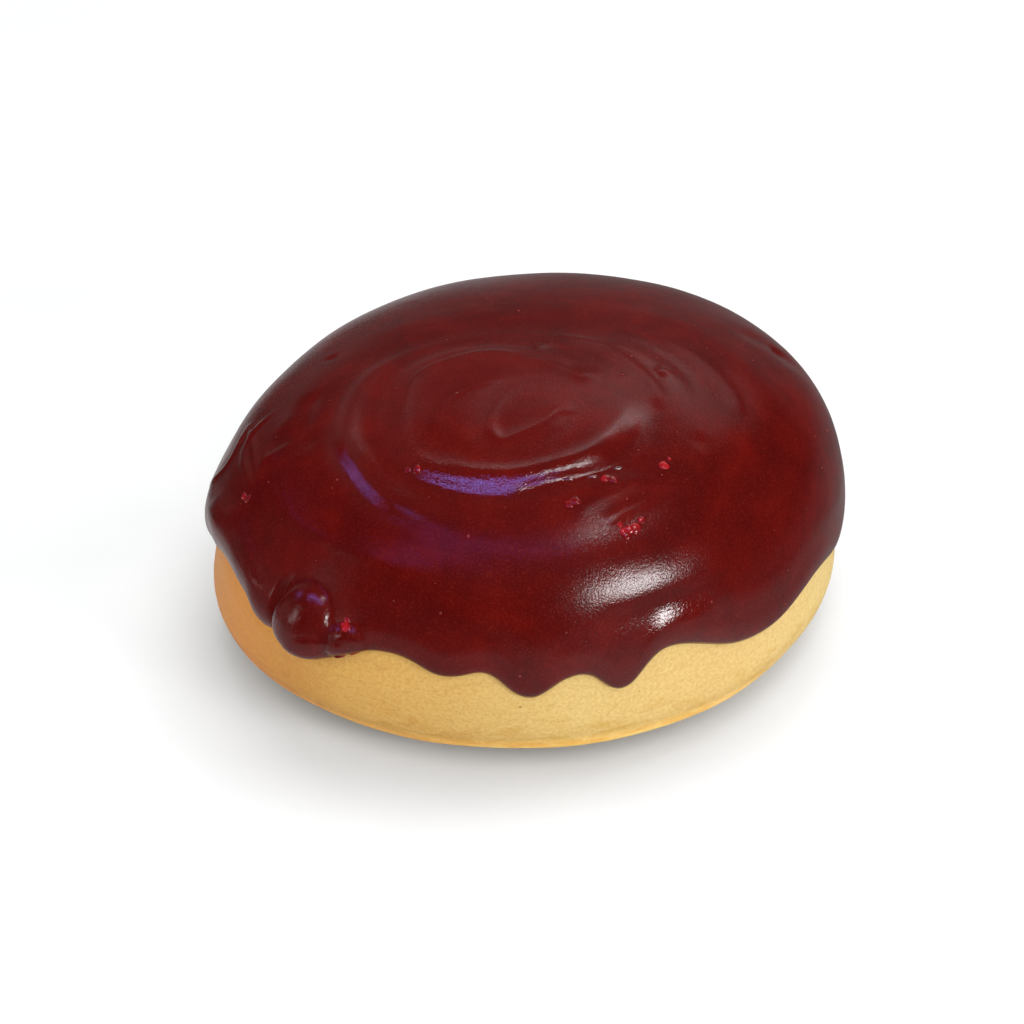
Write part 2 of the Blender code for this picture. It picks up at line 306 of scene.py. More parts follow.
def new_tree(name: str, inputs: list[tuple[str, str, Any]]) -> tuple[bpy.types.NodeTree, bpy.types.Node]:
    """Start a Geometry Nodes tree with named inputs.

    Args:
        name: the tree's name.
        inputs: name, socket type and usual value of each input between the geometry and the material.

    Returns:
        The tree and its Group Input node.
    """
    tree = bpy.data.node_groups.new(name, "GeometryNodeTree")
    tree.interface.new_socket(name="Geometry", in_out="INPUT", socket_type="NodeSocketGeometry")
    tree.interface.new_socket(name="Geometry", in_out="OUTPUT", socket_type="NodeSocketGeometry")
    for label, kind, value in inputs:
        socket = tree.interface.new_socket(name=label, in_out="INPUT", socket_type=kind)
        socket.default_value = value
    tree.interface.new_socket(name="Material", in_out="INPUT", socket_type="NodeSocketMaterial")
    return tree, add(tree, "NodeGroupInput")


def end_tree(tree: bpy.types.NodeTree, given: bpy.types.Node, shape: bpy.types.Node) -> bpy.types.NodeTree:
    """End a Geometry Nodes tree: realize what was made and give it its material.

    Args:
        tree: the tree.
        given: its Group Input node.
        shape: the last node of the shape.

    Returns:
        The tree.
    """
    real = add(tree, "GeometryNodeRealizeInstances", {"Geometry": shape})
    painted = add(tree, "GeometryNodeSetMaterial", {"Geometry": real, "Material": given.outputs["Material"]})
    add(tree, "NodeGroupOutput", {"Geometry": painted})
    return tree


def start_material(
    name: str,
) -> tuple[bpy.types.Material, bpy.types.NodeTree, bpy.types.Node, bpy.types.NodeSocket]:
    """Start a material.

    Args:
        name: the material's name.

    Returns:
        The material, its tree, its shader and the place on the object.
    """
    material = bpy.data.materials.new(name)
    material.use_nodes = True
    tree = material.node_tree
    return material, tree, tree.nodes["Principled BSDF"], add(tree, "ShaderNodeTexCoord").outputs["Object"]


def finish_shader(
    tree: bpy.types.NodeTree, shader: bpy.types.Node, links: dict[str, bpy.types.NodeSocket],
    values: dict[str, Any],
) -> None:
    """Link what changes over the surface to a shader, and set what doesn't on its own sockets.

    Args:
        tree: the material's tree.
        shader: its shader.
        links: a socket for each of the shader's inputs that changes.
        values: a value for each that is the same everywhere.
    """
    for name, socket in links.items():
        tree.links.new(socket, shader.inputs[name])
    for name, value in values.items():
        shader.inputs[name].default_value = value


# ---------------------------------------------------------------- the bun's form


@dataclass(frozen=True)
class Bulge:
    """A wave of the plan: its share of the radius, its sides and the azimuth of a crest."""

    share: float
    sides: int
    crest: float


@dataclass(frozen=True)
class Swell:
    """A wave of the surface: height, waves round, waves down and the azimuth of a crest."""

    height: float
    around: int
    down: float
    crest: float


@dataclass
class BunForm:
    """The surface of the bun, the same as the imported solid's."""

    radius: float = 45.6
    dome_height: float = 27.5
    base_depth: float = 17.8
    dome_fullness: float = 2.56
    base_fullness: float = 3.95
    foot_share: float = 0.50
    dome_lean: tuple[float, float] = (4.2, 1.4)
    base_shift: tuple[float, float] = (2.9, 0.6)
    seat: tuple[float, float] = (-0.49, -0.07)
    plan_bulges: tuple[Bulge, ...] = (Bulge(0.039, 2, 42.0), Bulge(0.008, 3, 112.0), Bulge(0.008, 4, 48.0))
    foot_bulges: tuple[Bulge, ...] = (Bulge(0.099, 2, 19.0), Bulge(0.079, 3, 49.5))
    swells: tuple[Swell, ...] = (
        Swell(0.17, 2, 0.6, -38.0),
        Swell(0.09, 4, 0.8, 35.0),
        Swell(0.08, 5, 1.4, 17.0),
        Swell(0.05, 11, 3.1, 80.0),
    )
    swell_fades: tuple[float, float] = (48.0, 16.0)  # how far from the top's centre and the foot it is calm
    pole: float = 0.4            # within this walk of the very top, the skin faces straight up
    table_steps: int = 1600
    angles: np.ndarray = field(init=False)
    walks: np.ndarray = field(init=False)
    shares: np.ndarray = field(init=False)
    levels: np.ndarray = field(init=False)
    foot_walk: float = field(init=False)
    foot_level: float = field(init=False)

    def __post_init__(self) -> None:
        """Walk once down the mean profile and note the way."""
        self.angles = np.linspace(np.pi / 2, -np.pi / 2, self.table_steps)
        self.shares, self.levels = self.profile(self.angles)
        steps = np.hypot(np.diff(self.shares * self.radius), np.diff(self.levels))
        self.walks = np.concatenate(([0.0], np.cumsum(steps)))
        low = self.angles < 0.0
        self.foot_walk = float(np.interp(self.foot_share, self.shares[low][::-1], self.walks[low][::-1]))
        self.foot_level = float(np.interp(self.foot_walk, self.walks, self.levels))

    @staticmethod
    def half_profile(angle: np.ndarray, height: float, fullness: float) -> tuple[np.ndarray, np.ndarray]:
        """Trace a rounded profile.

        Args:
            angle: polar angles in radians, 90 degrees at the top.
            height: the half's height.
            fullness: 2 for an ellipse, more for a squarer shoulder.

        Returns:
            The radius as a share of the full one, and the level.
        """
        c = np.abs(np.cos(angle))
        s = np.abs(np.sin(angle))
        reach = (c ** fullness + s ** fullness) ** (-1.0 / fullness)
        return reach * c, np.sign(angle) * height * reach * s

    def profile(self, angle: np.ndarray) -> tuple[np.ndarray, np.ndarray]:
        """Trace the bun's mean profile.

        Args:
            angle: polar angles in radians.

        Returns:
            Radius shares and levels.
        """
        r_up, z_up = self.half_profile(angle, self.dome_height, self.dome_fullness)
        r_down, z_down = self.half_profile(angle, self.base_depth, self.base_fullness)
        return np.where(angle >= 0.0, r_up, r_down), np.where(angle >= 0.0, z_up, z_down)

    def walk_at_level(self, level: np.ndarray) -> np.ndarray:
        """Give the walk down to a level."""
        return np.interp(-np.asarray(level), -self.levels, self.walks)

    @staticmethod
    def waves(bulges: tuple[Bulge, ...], azimuth: np.ndarray) -> np.ndarray:
        """Sum the plan's bulges at azimuths in radians."""
        return sum(b.share * np.cos(b.sides * (azimuth - np.radians(b.crest))) for b in bulges)

    def smooth(self, azimuth: np.ndarray, walked: np.ndarray) -> np.ndarray:
        """Give points of the bun before its unevenness.

        Args:
            azimuth: azimuths in radians.
            walked: walks down from the top.

        Returns:
            One row of x, y and level for each point.
        """
        angle = np.interp(walked, self.walks, self.angles)
        share, z = self.profile(angle)
        lean = np.clip(z / self.dome_height, 0.0, 1.0) ** 1.5
        low = np.clip(-z / self.base_depth, 0.0, 1.0)
        plan = 1.0 + self.waves(self.plan_bulges, azimuth) + low * self.waves(self.foot_bulges, azimuth)
        reach = self.radius * share * plan
        x = reach * np.cos(azimuth) + self.dome_lean[0] * lean + self.base_shift[0] * low
        y = reach * np.sin(azimuth) + self.dome_lean[1] * lean + self.base_shift[1] * low
        return np.stack([x, y, z], axis=-1)

    def unevenness(self, azimuth: np.ndarray, walked: np.ndarray) -> np.ndarray:
        """Give the gentle swelling of the dough, none at the top's centre and at the foot.

        Args:
            azimuth: azimuths in radians.
            walked: walks down from the top.

        Returns:
            Heights along the normals.
        """
        top, foot = self.swell_fades
        fade = fall(walked / top) * fall((self.foot_walk - walked) / foot)
        height = np.zeros_like(azimuth)
        for s in self.swells:
            turn = s.around * (azimuth - np.radians(s.crest))
            height = height + s.height * np.cos(turn + s.down * 2 * np.pi * walked / self.walks[-1])
        return height * fade

    def outward(self, azimuth: np.ndarray, walked: np.ndarray, step: float = 0.02) -> np.ndarray:
        """Give unit normals of the smooth bun, straight up at the very top.

        Args:
            azimuth: azimuths in radians.
            walked: walks down from the top.
            step: how far apart the surface is read, in millimetres, with a tenth as many radians.

        Returns:
            One row for each point.
        """
        near = np.maximum(walked, self.pole)
        turn = step / 10.0
        along = self.smooth(azimuth, near + step) - self.smooth(azimuth, near - step)
        around = self.smooth(azimuth + turn, near) - self.smooth(azimuth - turn, near)
        normal = np.cross(along, around)
        normal /= np.linalg.norm(normal, axis=-1, keepdims=True)
        return np.where((walked < self.pole)[..., None], np.array([0.0, 0.0, 1.0]), normal)

    def points(self, azimuth: np.ndarray, walked: np.ndarray, off: np.ndarray) -> np.ndarray:
        """Give points at a distance off the bun."""
        lift = self.unevenness(azimuth, walked) + off
        return self.smooth(azimuth, walked) + self.outward(azimuth, walked) * lift[..., None]

    def under(self, x: np.ndarray, y: np.ndarray, rounds: int = 12) -> tuple[np.ndarray, np.ndarray]:
        """Find where points of the plan lie on the dome.

        Args:
            x: their x.
            y: their y.
            rounds: how often the answer is mended.

        Returns:
            Azimuths in radians and walks.
        """
        upper = self.angles >= 0.0
        z = np.full_like(x, self.dome_height)
        for _ in range(rounds):
            lean = np.clip(z / self.dome_height, 0.0, 1.0) ** 1.5
            dx, dy = x - self.dome_lean[0] * lean, y - self.dome_lean[1] * lean
            azimuth = np.arctan2(dy, dx)
            share = np.hypot(dx, dy) / (self.radius * (1.0 + self.waves(self.plan_bulges, azimuth)))
            walked = np.interp(share, self.shares[upper], self.walks[upper])
            z = np.interp(walked, self.walks, self.levels)
        return azimuth, walked

    def seated(self, points: np.ndarray) -> np.ndarray:
        """Move points to the part's own frame, in metres."""
        return (points + np.array([self.seat[0], self.seat[1], -self.foot_level])) * MM


# ---------------------------------------------------------------- the icing's form


@dataclass(frozen=True)
class Run:
    """A run of the icing's edge: azimuth, half width in degrees, and how far down it goes."""

    azimuth: float
    half: float
    down: float


@dataclass(frozen=True)
class Lump:
    """A lump of thick icing: azimuth, level, half widths across and down, and height."""

    azimuth: float
    level: float
    across: float
    down: float
    height: float


@dataclass(frozen=True)
class Turn:
    """A turn of the swirl, walked clockwise: a crest whose outer side drops to a shallow trough.

    Each point gives x, y and how strong the turn is there. Inner and outer say how far the crest
    and the trough fade away, and wall how wide the drop between them is, in millimetres.
    """

    points: tuple[tuple[float, float, float], ...]
    crest: float
    trough: float
    inner: float
    wall: float
    outer: float


@dataclass(frozen=True)
class Stroke:
    """A fine ridge, or a groove where the height is below zero, that the spoon left.

    Left and right say how far it falls away on each side of the way it runs.
    """

    points: tuple[tuple[float, float], ...]
    height: float
    left: float
    right: float
    where: Where = Where.PLAN
    taper: float = 0.22          # share of its length over which it rises from nothing at each end
    past: float = 0.8            # millimetres by which it runs out past its last point


@dataclass(frozen=True)
class Dent:
    """A small hollow, or a knob where the depth is below zero: x, y, size and depth."""

    x: float
    y: float
    size: float
    depth: float


@dataclass(frozen=True)
class Spot:
    """A place where bits lie thick: x, y, its size in millimetres and how many times as thick."""

    x: float
    y: float
    size: float
    times: float


@dataclass(frozen=True)
class Bead:
    """A bead of clear glaze: x, y, length, width, height and its length's azimuth."""

    x: float
    y: float
    length: float
    width: float
    height: float
    heading: float


SWIRL_TURNS = (
    # the small loop at the heart
    Turn(((8.3, -16.9, 0.0), (4.8, -17.2, 0.5), (3.6, -19.8, 0.9), (0.0, -21.6, 1.0), (-3.4, -22.4, 1.0),
          (-5.4, -20.1, 0.8), (-5.0, -15.9, 0.6), (-3.0, -12.6, 0.5), (1.0, -11.3, 0.4), (5.0, -12.2, 0.0)),
         0.05, 0.03, 1.1, 1.6, 1.8),
    # the ring, with a steep wall at the front
    Turn(((14.9, -13.2, 0.0), (13.9, -17.8, 0.6), (11.8, -21.4, 0.9), (8.9, -24.4, 1.0), (4.8, -26.7, 1.0),
          (0.7, -28.1, 1.0), (-3.4, -28.5, 1.0), (-7.6, -27.9, 1.0), (-11.2, -26.6, 0.95),
          (-13.7, -25.1, 0.85), (-15.4, -22.6, 0.6), (-16.2, -18.5, 0.4), (-16.2, -12.4, 0.35),
          (-15.9, -8.6, 0.35), (-14.9, -5.3, 0.35), (-12.6, -3.0, 0.3), (-9.0, -1.6, 0.3), (-3.6, -1.4, 0.3),
          (2.1, -3.1, 0.25), (6.4, -5.3, 0.1), (9.0, -9.4, 0.0)),
         0.45, 0.38, 2.0, 3.3, 2.6),
    # the second ridge, steep on its outer side
    Turn(((17.5, -34.4, 0.0), (10.7, -36.6, 0.1), (1.6, -38.1, 0.1), (-6.0, -36.6, 0.15), (-10.0, -34.9, 0.3),
          (-13.4, -32.9, 0.65), (-16.9, -30.4, 1.0), (-19.3, -27.8, 1.0), (-21.1, -24.9, 1.0),
          (-22.7, -21.9, 1.0), (-23.9, -18.7, 0.9), (-24.2, -14.0, 0.6), (-23.4, -8.5, 0.4),
          (-21.0, -3.5, 0.3), (-16.2, 0.0, 0.2), (-10.0, 2.2, 0.2), (-3.6, 2.9, 0.2), (5.1, 2.4, 0.2),
          (13.6, 0.2, 0.25), (18.4, -3.9, 0.3), (21.0, -8.0, 0.25), (21.7, -12.2, 0.1), (20.9, -16.4, 0.0)),
         0.42, 0.20, 2.0, 2.6, 3.0),
    # the third, low at the front left
    Turn(((-2.0, -42.0, 0.0), (-6.0, -41.4, 0.5), (-11.3, -39.9, 0.8), (-18.0, -37.0, 1.0),
          (-22.2, -34.2, 1.0), (-26.1, -31.6, 1.0), (-30.8, -27.1, 1.0), (-33.5, -23.0, 1.0),
          (-35.0, -18.5, 0.9), (-34.6, -13.0, 0.8), (-33.4, -7.0, 0.6), (-30.5, -1.0, 0.4),
          (-26.0, 4.5, 0.25), (-20.0, 8.5, 0.2), (-12.0, 10.8, 0.15), (-3.0, 11.8, 0.1), (8.0, 11.6, 0.1),
          (17.5, 10.5, 0.2), (25.6, 6.6, 0.3), (31.1, 0.4, 0.35), (33.6, -5.2, 0.25), (34.6, -10.3, 0.0)),
         0.24, 0.08, 2.6, 4.6, 3.4),
)
SPOON_STROKES = (
    # the comma at the swirl's heart
    Stroke(((8.3, -17.3), (4.8, -16.7), (2.8, -18.9), (0.0, -20.9), (-3.1, -22.5), (-4.8, -20.1),
            (-4.1, -15.9), (-1.4, -11.4)), 0.20, 0.5, 1.2),
    # the ring's lower edge
    Stroke(((12.9, -19.6), (9.4, -24.0), (4.3, -26.6), (-0.5, -28.0), (-4.4, -28.2), (-8.4, -26.9),
            (-12.4, -22.6)), 0.10, 0.6, 1.2),
    # the ribbon round the ring's back
    Stroke(((-16.6, -15.2), (-15.2, -7.1), (-10.7, -3.3), (-5.0, -1.8), (0.7, -3.5), (6.0, -7.0),
            (7.7, -9.6)), 0.18, 0.6, 1.4),
    Stroke(((-11.2, -21.0), (-12.0, -17.4), (-10.4, -13.2), (-6.6, -10.4), (-2.0, -9.2)), 0.15, 1.1, 0.6),
    # the valley that parts the front light in two
    Stroke(((-80.5, 9.3), (-76.5, 9.5), (-74.0, 9.7), (-70.7, 9.9), (-66.5, 10.4), (-61.7, 10.6),
            (-58.7, 10.8), (-55.5, 11.2), (-51.0, 11.9)), -0.36, 1.3, 2.4, Where.SIDE),
    # faint arcs to the right
    Stroke(((3.0, 3.9), (10.8, 0.3), (16.2, -6.1), (18.5, -11.2), (18.2, -15.5)), 0.14, 0.8, 1.2),
    Stroke(((19.0, 5.5), (25.1, -1.0), (29.0, -7.9), (29.5, -13.0)), 0.12, 0.9, 1.4),
    # ripples in front of the ring, to the right
    Stroke(((6.0, -33.5), (10.8, -30.4), (17.0, -26.5)), 0.20, 0.8, 1.0),
    Stroke(((10.0, -34.1), (13.4, -31.8), (17.4, -29.4)), 0.18, 0.7, 0.9),
    Stroke(((-1.8, -30.7), (1.0, -30.0), (3.6, -29.1), (7.0, -28.2), (12.5, -26.3), (18.6, -23.4)),
           -0.22, 0.8, 1.1),
    # the third arc, low at the front left
    Stroke(((-32.6, -23.8), (-30.8, -27.5), (-24.2, -33.7), (-16.7, -38.1), (-9.9, -40.1)), 0.16, 1.2, 1.0),
    # hooks of the spoon at the far left
    Stroke(((-34.0, -2.6), (-35.9, -3.7), (-37.9, -4.5), (-39.2, -6.7), (-39.3, -9.6), (-38.8, -12.1),
            (-37.9, -15.6), (-37.3, -18.1), (-37.8, -19.7)), 0.26, 0.55, 0.9),
    Stroke(((-39.1, -0.4), (-40.4, -3.1), (-41.5, -5.5), (-43.0, -5.9), (-44.4, -4.0)), 0.20, 0.5, 0.7),
    Stroke(((-29.5, -3.0), (-30.4, -8.0), (-30.6, -13.0), (-28.6, -18.0)), -0.34, 1.6, 1.8),
    Stroke(((-36.6, -13.6), (-34.6, -14.6), (-31.6, -14.4)), 0.24, 0.7, 0.9),
    # the hooked ridge at the far left
    Stroke(((-179.5, 14.5), (-175.0, 15.7), (-163.5, 16.3), (-155.0, 15.8), (-152.6, 14.4)),
           0.20, 0.45, 0.6, Where.SIDE),
    # the lip's fold line
    Stroke(((-168.0, 7.6), (-161.0, 8.0), (-154.0, 8.2), (-147.5, 8.3), (-140.0, 7.8), (-135.0, 7.2)),
           0.22, 0.7, 0.9, Where.SIDE),
    # the crease between lip and lump
    Stroke(((-133.4, 11.6), (-134.6, 9.4), (-134.8, 7.4), (-134.2, 5.2), (-132.4, 2.6), (-130.0, 1.0)),
           -0.95, 0.55, 0.65, Where.SIDE),
)
DENTS = (
    Dent(-27.8, 5.8, 0.9, 0.30),
    Dent(36.7, 11.0, 1.0, 0.35),
    Dent(33.3, 11.7, 2.2, 0.30),
    Dent(37.9, 10.0, 2.4, 0.32),
    Dent(19.4, -5.9, 1.1, -0.28),
    Dent(2.1, 0.1, 1.0, -0.20),
    Dent(8.4, -8.3, 1.6, -0.25),
    Dent(23.6, -19.5, 1.2, 0.12),
    Dent(-33.4, -9.0, 2.4, -0.30),
)
RED_SPOTS = (
    Spot(18.6, -24.4, 0.85, 4.0e4),
    Spot(19.6, -23.6, 0.6, 3.0e4),
    Spot(11.5, -28.2, 0.9, 4.0e4),
    Spot(6.0, -32.4, 0.7, 4.0e4),
    Spot(12.0, -34.2, 0.6, 4.0e4),
    Spot(13.6, -35.6, 0.8, 4.0e4),
    Spot(15.4, -34.6, 0.6, 4.0e4),
    Spot(-15.3, -27.0, 0.7, 3.0e4),
    Spot(-23.9, -41.2, 0.9, 3.0e4),
    Spot(-39.4, -19.0, 0.7, 3.0e4),
)
GLAZE_BEADS = (
    Bead(5.8, -28.7, 1.6, 0.6, 0.3, 10.0),
    Bead(9.0, -28.0, 1.4, 0.5, 0.3, 12.0),
    Bead(12.4, -26.2, 1.5, 0.5, 0.3, 16.0),
)
DARK_SPOTS = (
    Spot(22.6, -38.9, 0.35, 3000.0),
    Spot(27.1, -36.3, 0.3, 3000.0),
    Spot(3.0, -45.2, 0.3, 3000.0),
)


@dataclass
class IcingForm:
    """The surface of the icing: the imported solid's, and the spoon's fine strokes on it."""

    bun: BunForm
    contact: float = -0.12       # the edge sinks this far into the dough's skin, so no gap shows
    depth: float = 1.3
    rim: float = 1.9             # how wide the lower edge rounds over
    bead: tuple[float, float, float] = (0.35, 3.2, 2.4)  # the roll along the edge: height, place, width
    edge: float = 4.6            # level of the edge between the runs
    run_roundness: float = 2.4
    runs: tuple[Run, ...] = (
        Run(-167.8, 5.0, 1.6),
        Run(-152.3, 5.0, -1.0),
        Run(-138.8, 4.0, 2.1),
        Run(-127.7, 7.3, 3.1),
        Run(-113.9, 5.3, -0.7),
        Run(-103.2, 4.8, 1.6),
        Run(-81.1, 12.0, 2.1),
        Run(-89.7, 5.2, 3.6),
        Run(-72.4, 4.8, 4.2),
        Run(-43.3, 14.9, 4.8),
        Run(-9.3, 15.0, 3.9),
        Run(24.0, 7.0, 4.9),
        Run(43.0, 10.0, 2.4),
        Run(63.0, 6.0, 5.6),
        Run(84.0, 9.0, 2.0),
        Run(104.0, 6.5, 4.6),
        Run(128.0, 10.0, 3.4),
        Run(150.0, 5.5, 3.0),
        Run(172.0, 7.0, 1.2),
    )
    fold: tuple[float, float, float, float] = (-157.0, 20.0, 5.4, 1.25)  # azimuth, half, rim, height
    fold_reach: float = 3.4      # how far up from the rim the folded lip fades
    slant_reach: float = 4.0     # how far in from the edge its slant is felt
    lumps: tuple[Lump, ...] = (
        Lump(-128.8, 5.7, 4.6, 5.8, 2.5),
        Lump(-120.4, 5.6, 2.8, 2.6, 1.2),
        Lump(-121.5, 2.8, 7.0, 3.0, 0.5),
    )
    heart: tuple[float, float] = (-1.0, -16.0)
    stirred_at: tuple[float, float, float, float] = (-9.0, -17.0, 22.0, 18.0)  # x, y and half widths
    stirred_share: tuple[float, float, float] = (0.12, 0.70, 0.45)   # most, all within, and the fade
    smoothed: tuple[float, float, float] = (0.30, 1.0, 1.0)  # how much the spoon smoothed each inner turn
    smooth_width: float = 2.4    # how far to each side of a turn's wall it did
    front_dulling: tuple[float, float, float] = (0.95, -32.0, 3.0)   # how much less wet it is past a y
    lip_gloss: tuple[float, float] = (0.10, 2.5)     # the folded lip's, and how far in it fades
    edge_gloss: tuple[float, float] = (0.30, 0.60)   # all round, and what is added at the front right
    edge_shine_at: tuple[float, float] = (-60.0, 24.0)
    edge_band: tuple[float, float] = (5.5, 3.5)      # how wide it is, and how far it fades
    lump_gloss: tuple[float, float] = (0.6, 0.6)     # and the height at which a lump has it all
    wet_spot: tuple[float, float, float, float] = (16.5, -41.5, 9.5, 0.5)    # x, y, size and gloss
    lump_roundness: float = 0.6
    streak_reach: float = 2.2    # how far the streaks run along a turn before they change
    swirl_fade: float = 16.0     # the turns fade away this near the edge
    swirl_turns: tuple[Turn, ...] = SWIRL_TURNS
    turn_widths: tuple[float, ...] = (5.0, 8.0, 8.0, 8.0, 16.0)
    strokes: tuple[Stroke, ...] = SPOON_STROKES
    dents: tuple[Dent, ...] = DENTS

    def edge_walk(self, azimuth: np.ndarray) -> np.ndarray:
        """Give the walk down to the icing's edge.

        Args:
            azimuth: azimuths in radians.

        Returns:
            The walks.
        """
        level = np.full_like(azimuth, self.edge)
        for run in self.runs:
            away = np.abs(turn_between(azimuth, run.azimuth) / run.half)
            level = level - run.down * np.exp(-away ** self.run_roundness)
        return self.bun.walk_at_level(level)

    def edge_slant(self, azimuth: np.ndarray) -> np.ndarray:
        """Say how much nearer the edge is sideways than straight down, from 0 to 1."""
        rise = (self.edge_walk(azimuth + 0.01) - self.edge_walk(azimuth - 0.01)) / (0.02 * self.bun.radius)
        return 1.0 / np.sqrt(1.0 + rise ** 2)

    def in_fold(self, azimuth: np.ndarray) -> np.ndarray:
        """Say how far azimuths are inside the folded lip, from 0 to 1."""
        return np.exp(-np.abs(turn_between(azimuth, self.fold[0]) / self.fold[1]) ** 4)

    def rim_width(self, azimuth: np.ndarray) -> np.ndarray:
        """Give how wide the lower edge rounds over."""
        return self.rim + (self.fold[2] - self.rim) * self.in_fold(azimuth)

    def rim_walk(self, azimuth: np.ndarray) -> np.ndarray:
        """Give the walk at which the edge starts to round over."""
        return self.edge_walk(azimuth) - self.rim_width(azimuth) / self.edge_slant(azimuth)

    def about_heart(self, x: np.ndarray, y: np.ndarray) -> tuple[np.ndarray, np.ndarray]:
        """Give the angle in radians and the distance of plan points about the swirl's heart."""
        dx, dy = x - self.heart[0], y - self.heart[1]
        return np.arctan2(dy, dx), np.hypot(dx, dy)

    def turn_line(self, turn: Turn) -> tuple[float, np.ndarray, np.ndarray, np.ndarray]:
        """Lay the line of a turn's crest about the heart.

        Args:
            turn: the turn.

        Returns:
            The angle where it starts, then for each point of the line how far it has turned
            clockwise, its distance from the heart and its strength.
        """
        path = smooth_path(np.array(turn.points))
        angle, reach = self.about_heart(path[:, 0], path[:, 1])
        angle = np.unwrap(angle)
        return float(angle[0]), angle[0] - angle, reach, np.clip(path[:, 2], 0.0, 1.0)

    def swirl(self, x: np.ndarray, y: np.ndarray) -> np.ndarray:
        """Give the height of the swirl's turns.

        Args:
            x: the points' x in plan.
            y: their y.

        Returns:
            Heights over the icing's mean surface.
        """
        angle, here = self.about_heart(x, y)
        height = np.zeros_like(x)
        for turn in self.swirl_turns:
            start, turned, reach, strong = self.turn_line(turn)
            way = (start - angle) % (2 * np.pi)
            out = here - np.interp(way, turned, reach)
            inner = np.exp(-(np.minimum(out, 0.0) / turn.inner) ** 2)
            crossing = fall(out / turn.wall)
            outer = np.exp(-(np.maximum(out - turn.wall, 0.0) / turn.outer) ** 2)
            shape = turn.crest * inner * (1.0 - crossing) - turn.trough * outer * crossing
            height = height + shape * np.interp(way, turned, strong, right=0.0)
        return height

    def turns(self, x: np.ndarray, y: np.ndarray) -> np.ndarray:
        """Give a coordinate that is even along the swirl's turns, for streaks that follow them.

        Args:
            x: the points' x in plan.
            y: their y.

        Returns:
            One row for each point: distance out from the heart, and the way round as two sides.
        """
        angle, here = self.about_heart(x, y)
        lines = [np.zeros_like(x)]
        for turn in self.swirl_turns:
            start, turned, reach, _ = self.turn_line(turn)
            way = (start - angle) % (2 * np.pi)
            closed = np.interp(way, np.append(turned, 2 * np.pi), np.append(reach, reach[0]))
            lines.append(np.maximum(closed, lines[-1] + 1.0))
        lines.append(lines[-1] + self.turn_widths[-1])
        out = np.zeros_like(x)
        for low, high, width in zip(lines, lines[1:], self.turn_widths):
            out += width * np.clip((here - low) / (high - low), 0.0, 1.0)
        return np.stack([out, self.streak_reach * np.cos(angle), self.streak_reach * np.sin(angle)], axis=-1)

    def worked(self, x: np.ndarray, y: np.ndarray) -> np.ndarray:
        """Say how much the spoon smoothed the icing.

        Args:
            x: the points' x in plan.
            y: their y.

        Returns:
            From 0 to 1 for each point.
        """
        angle, here = self.about_heart(x, y)
        smoothed = np.zeros_like(here)
        for turn, share in zip(self.swirl_turns, self.smoothed):
            start, turned, reach, strong = self.turn_line(turn)
            way = (start - angle) % (2 * np.pi)
            out = here - np.interp(way, turned, reach) - 0.5 * turn.wall
            near = share * np.interp(way, turned, strong, right=0.0) ** 1.5
            smoothed = np.maximum(smoothed, near * np.exp(-(out / self.smooth_width) ** 4))
        return smoothed

    def glossy(self, x: np.ndarray, y: np.ndarray, azimuth: np.ndarray, walked: np.ndarray) -> np.ndarray:
        """Say how wet the skin looks: where the spoon smoothed it, at the edge and on the lumps.

        Args:
            x: the points' x in plan.
            y: their y.
            azimuth: their azimuths in radians.
            walked: their walks.

        Returns:
            0 for the dry crust to 1 for a wet look.
        """
        less, start, fade = self.front_dulling
        smoothed = self.worked(x, y) * (1.0 - less * fall((start - y) / fade))
        to_edge = self.edge_walk(azimuth) - walked
        lip = self.in_fold(azimuth) * (1.0 - fall((to_edge - self.fold[2]) / self.lip_gloss[1]))
        right = np.exp(-(turn_between(azimuth, self.edge_shine_at[0]) / self.edge_shine_at[1]) ** 2)
        edge = self.edge_gloss[0] + self.edge_gloss[1] * right
        edge = edge * (1.0 - fall((to_edge - self.edge_band[0]) / self.edge_band[1]))
        most, full_at = self.lump_gloss
        lumps = most * np.clip(self.lump_height(azimuth, walked) / full_at, 0.0, 1.0)
        spot_x, spot_y, size, gloss = self.wet_spot
        wet = gloss * np.exp(-((np.hypot(x - spot_x, y - spot_y) / size) ** 4))
        return np.maximum.reduce([smoothed, self.lip_gloss[0] * lip, edge, lumps, wet])

    def stirred(self, x: np.ndarray, y: np.ndarray) -> np.ndarray:
        """Say how much the spoon thinned the icing.

        Args:
            x: the points' x in plan.
            y: their y.

        Returns:
            From 0 to 1 for each point.
        """
        middle_x, middle_y, half_x, half_y = self.stirred_at
        away = np.hypot((x - middle_x) / half_x, (y - middle_y) / half_y)
        most, within, fade = self.stirred_share
        return most * (1.0 - fall((away - within) / fade))

    def lump_height(self, azimuth: np.ndarray, walked: np.ndarray) -> np.ndarray:
        """Give the height of the lumps of thick icing.

        Args:
            azimuth: azimuths in radians.
            walked: walks down from the top.

        Returns:
            Heights along the normals.
        """
        height = np.zeros_like(azimuth)
        for lump in self.lumps:
            across = np.radians(turn_between(azimuth, lump.azimuth)) * self.bun.radius / lump.across
            down = (walked - self.bun.walk_at_level(lump.level)) / lump.down
            inside = np.clip(1.0 - across ** 2 - down ** 2, 0.0, 1.0)
            height = height + lump.height * inside ** self.lump_roundness
        return height

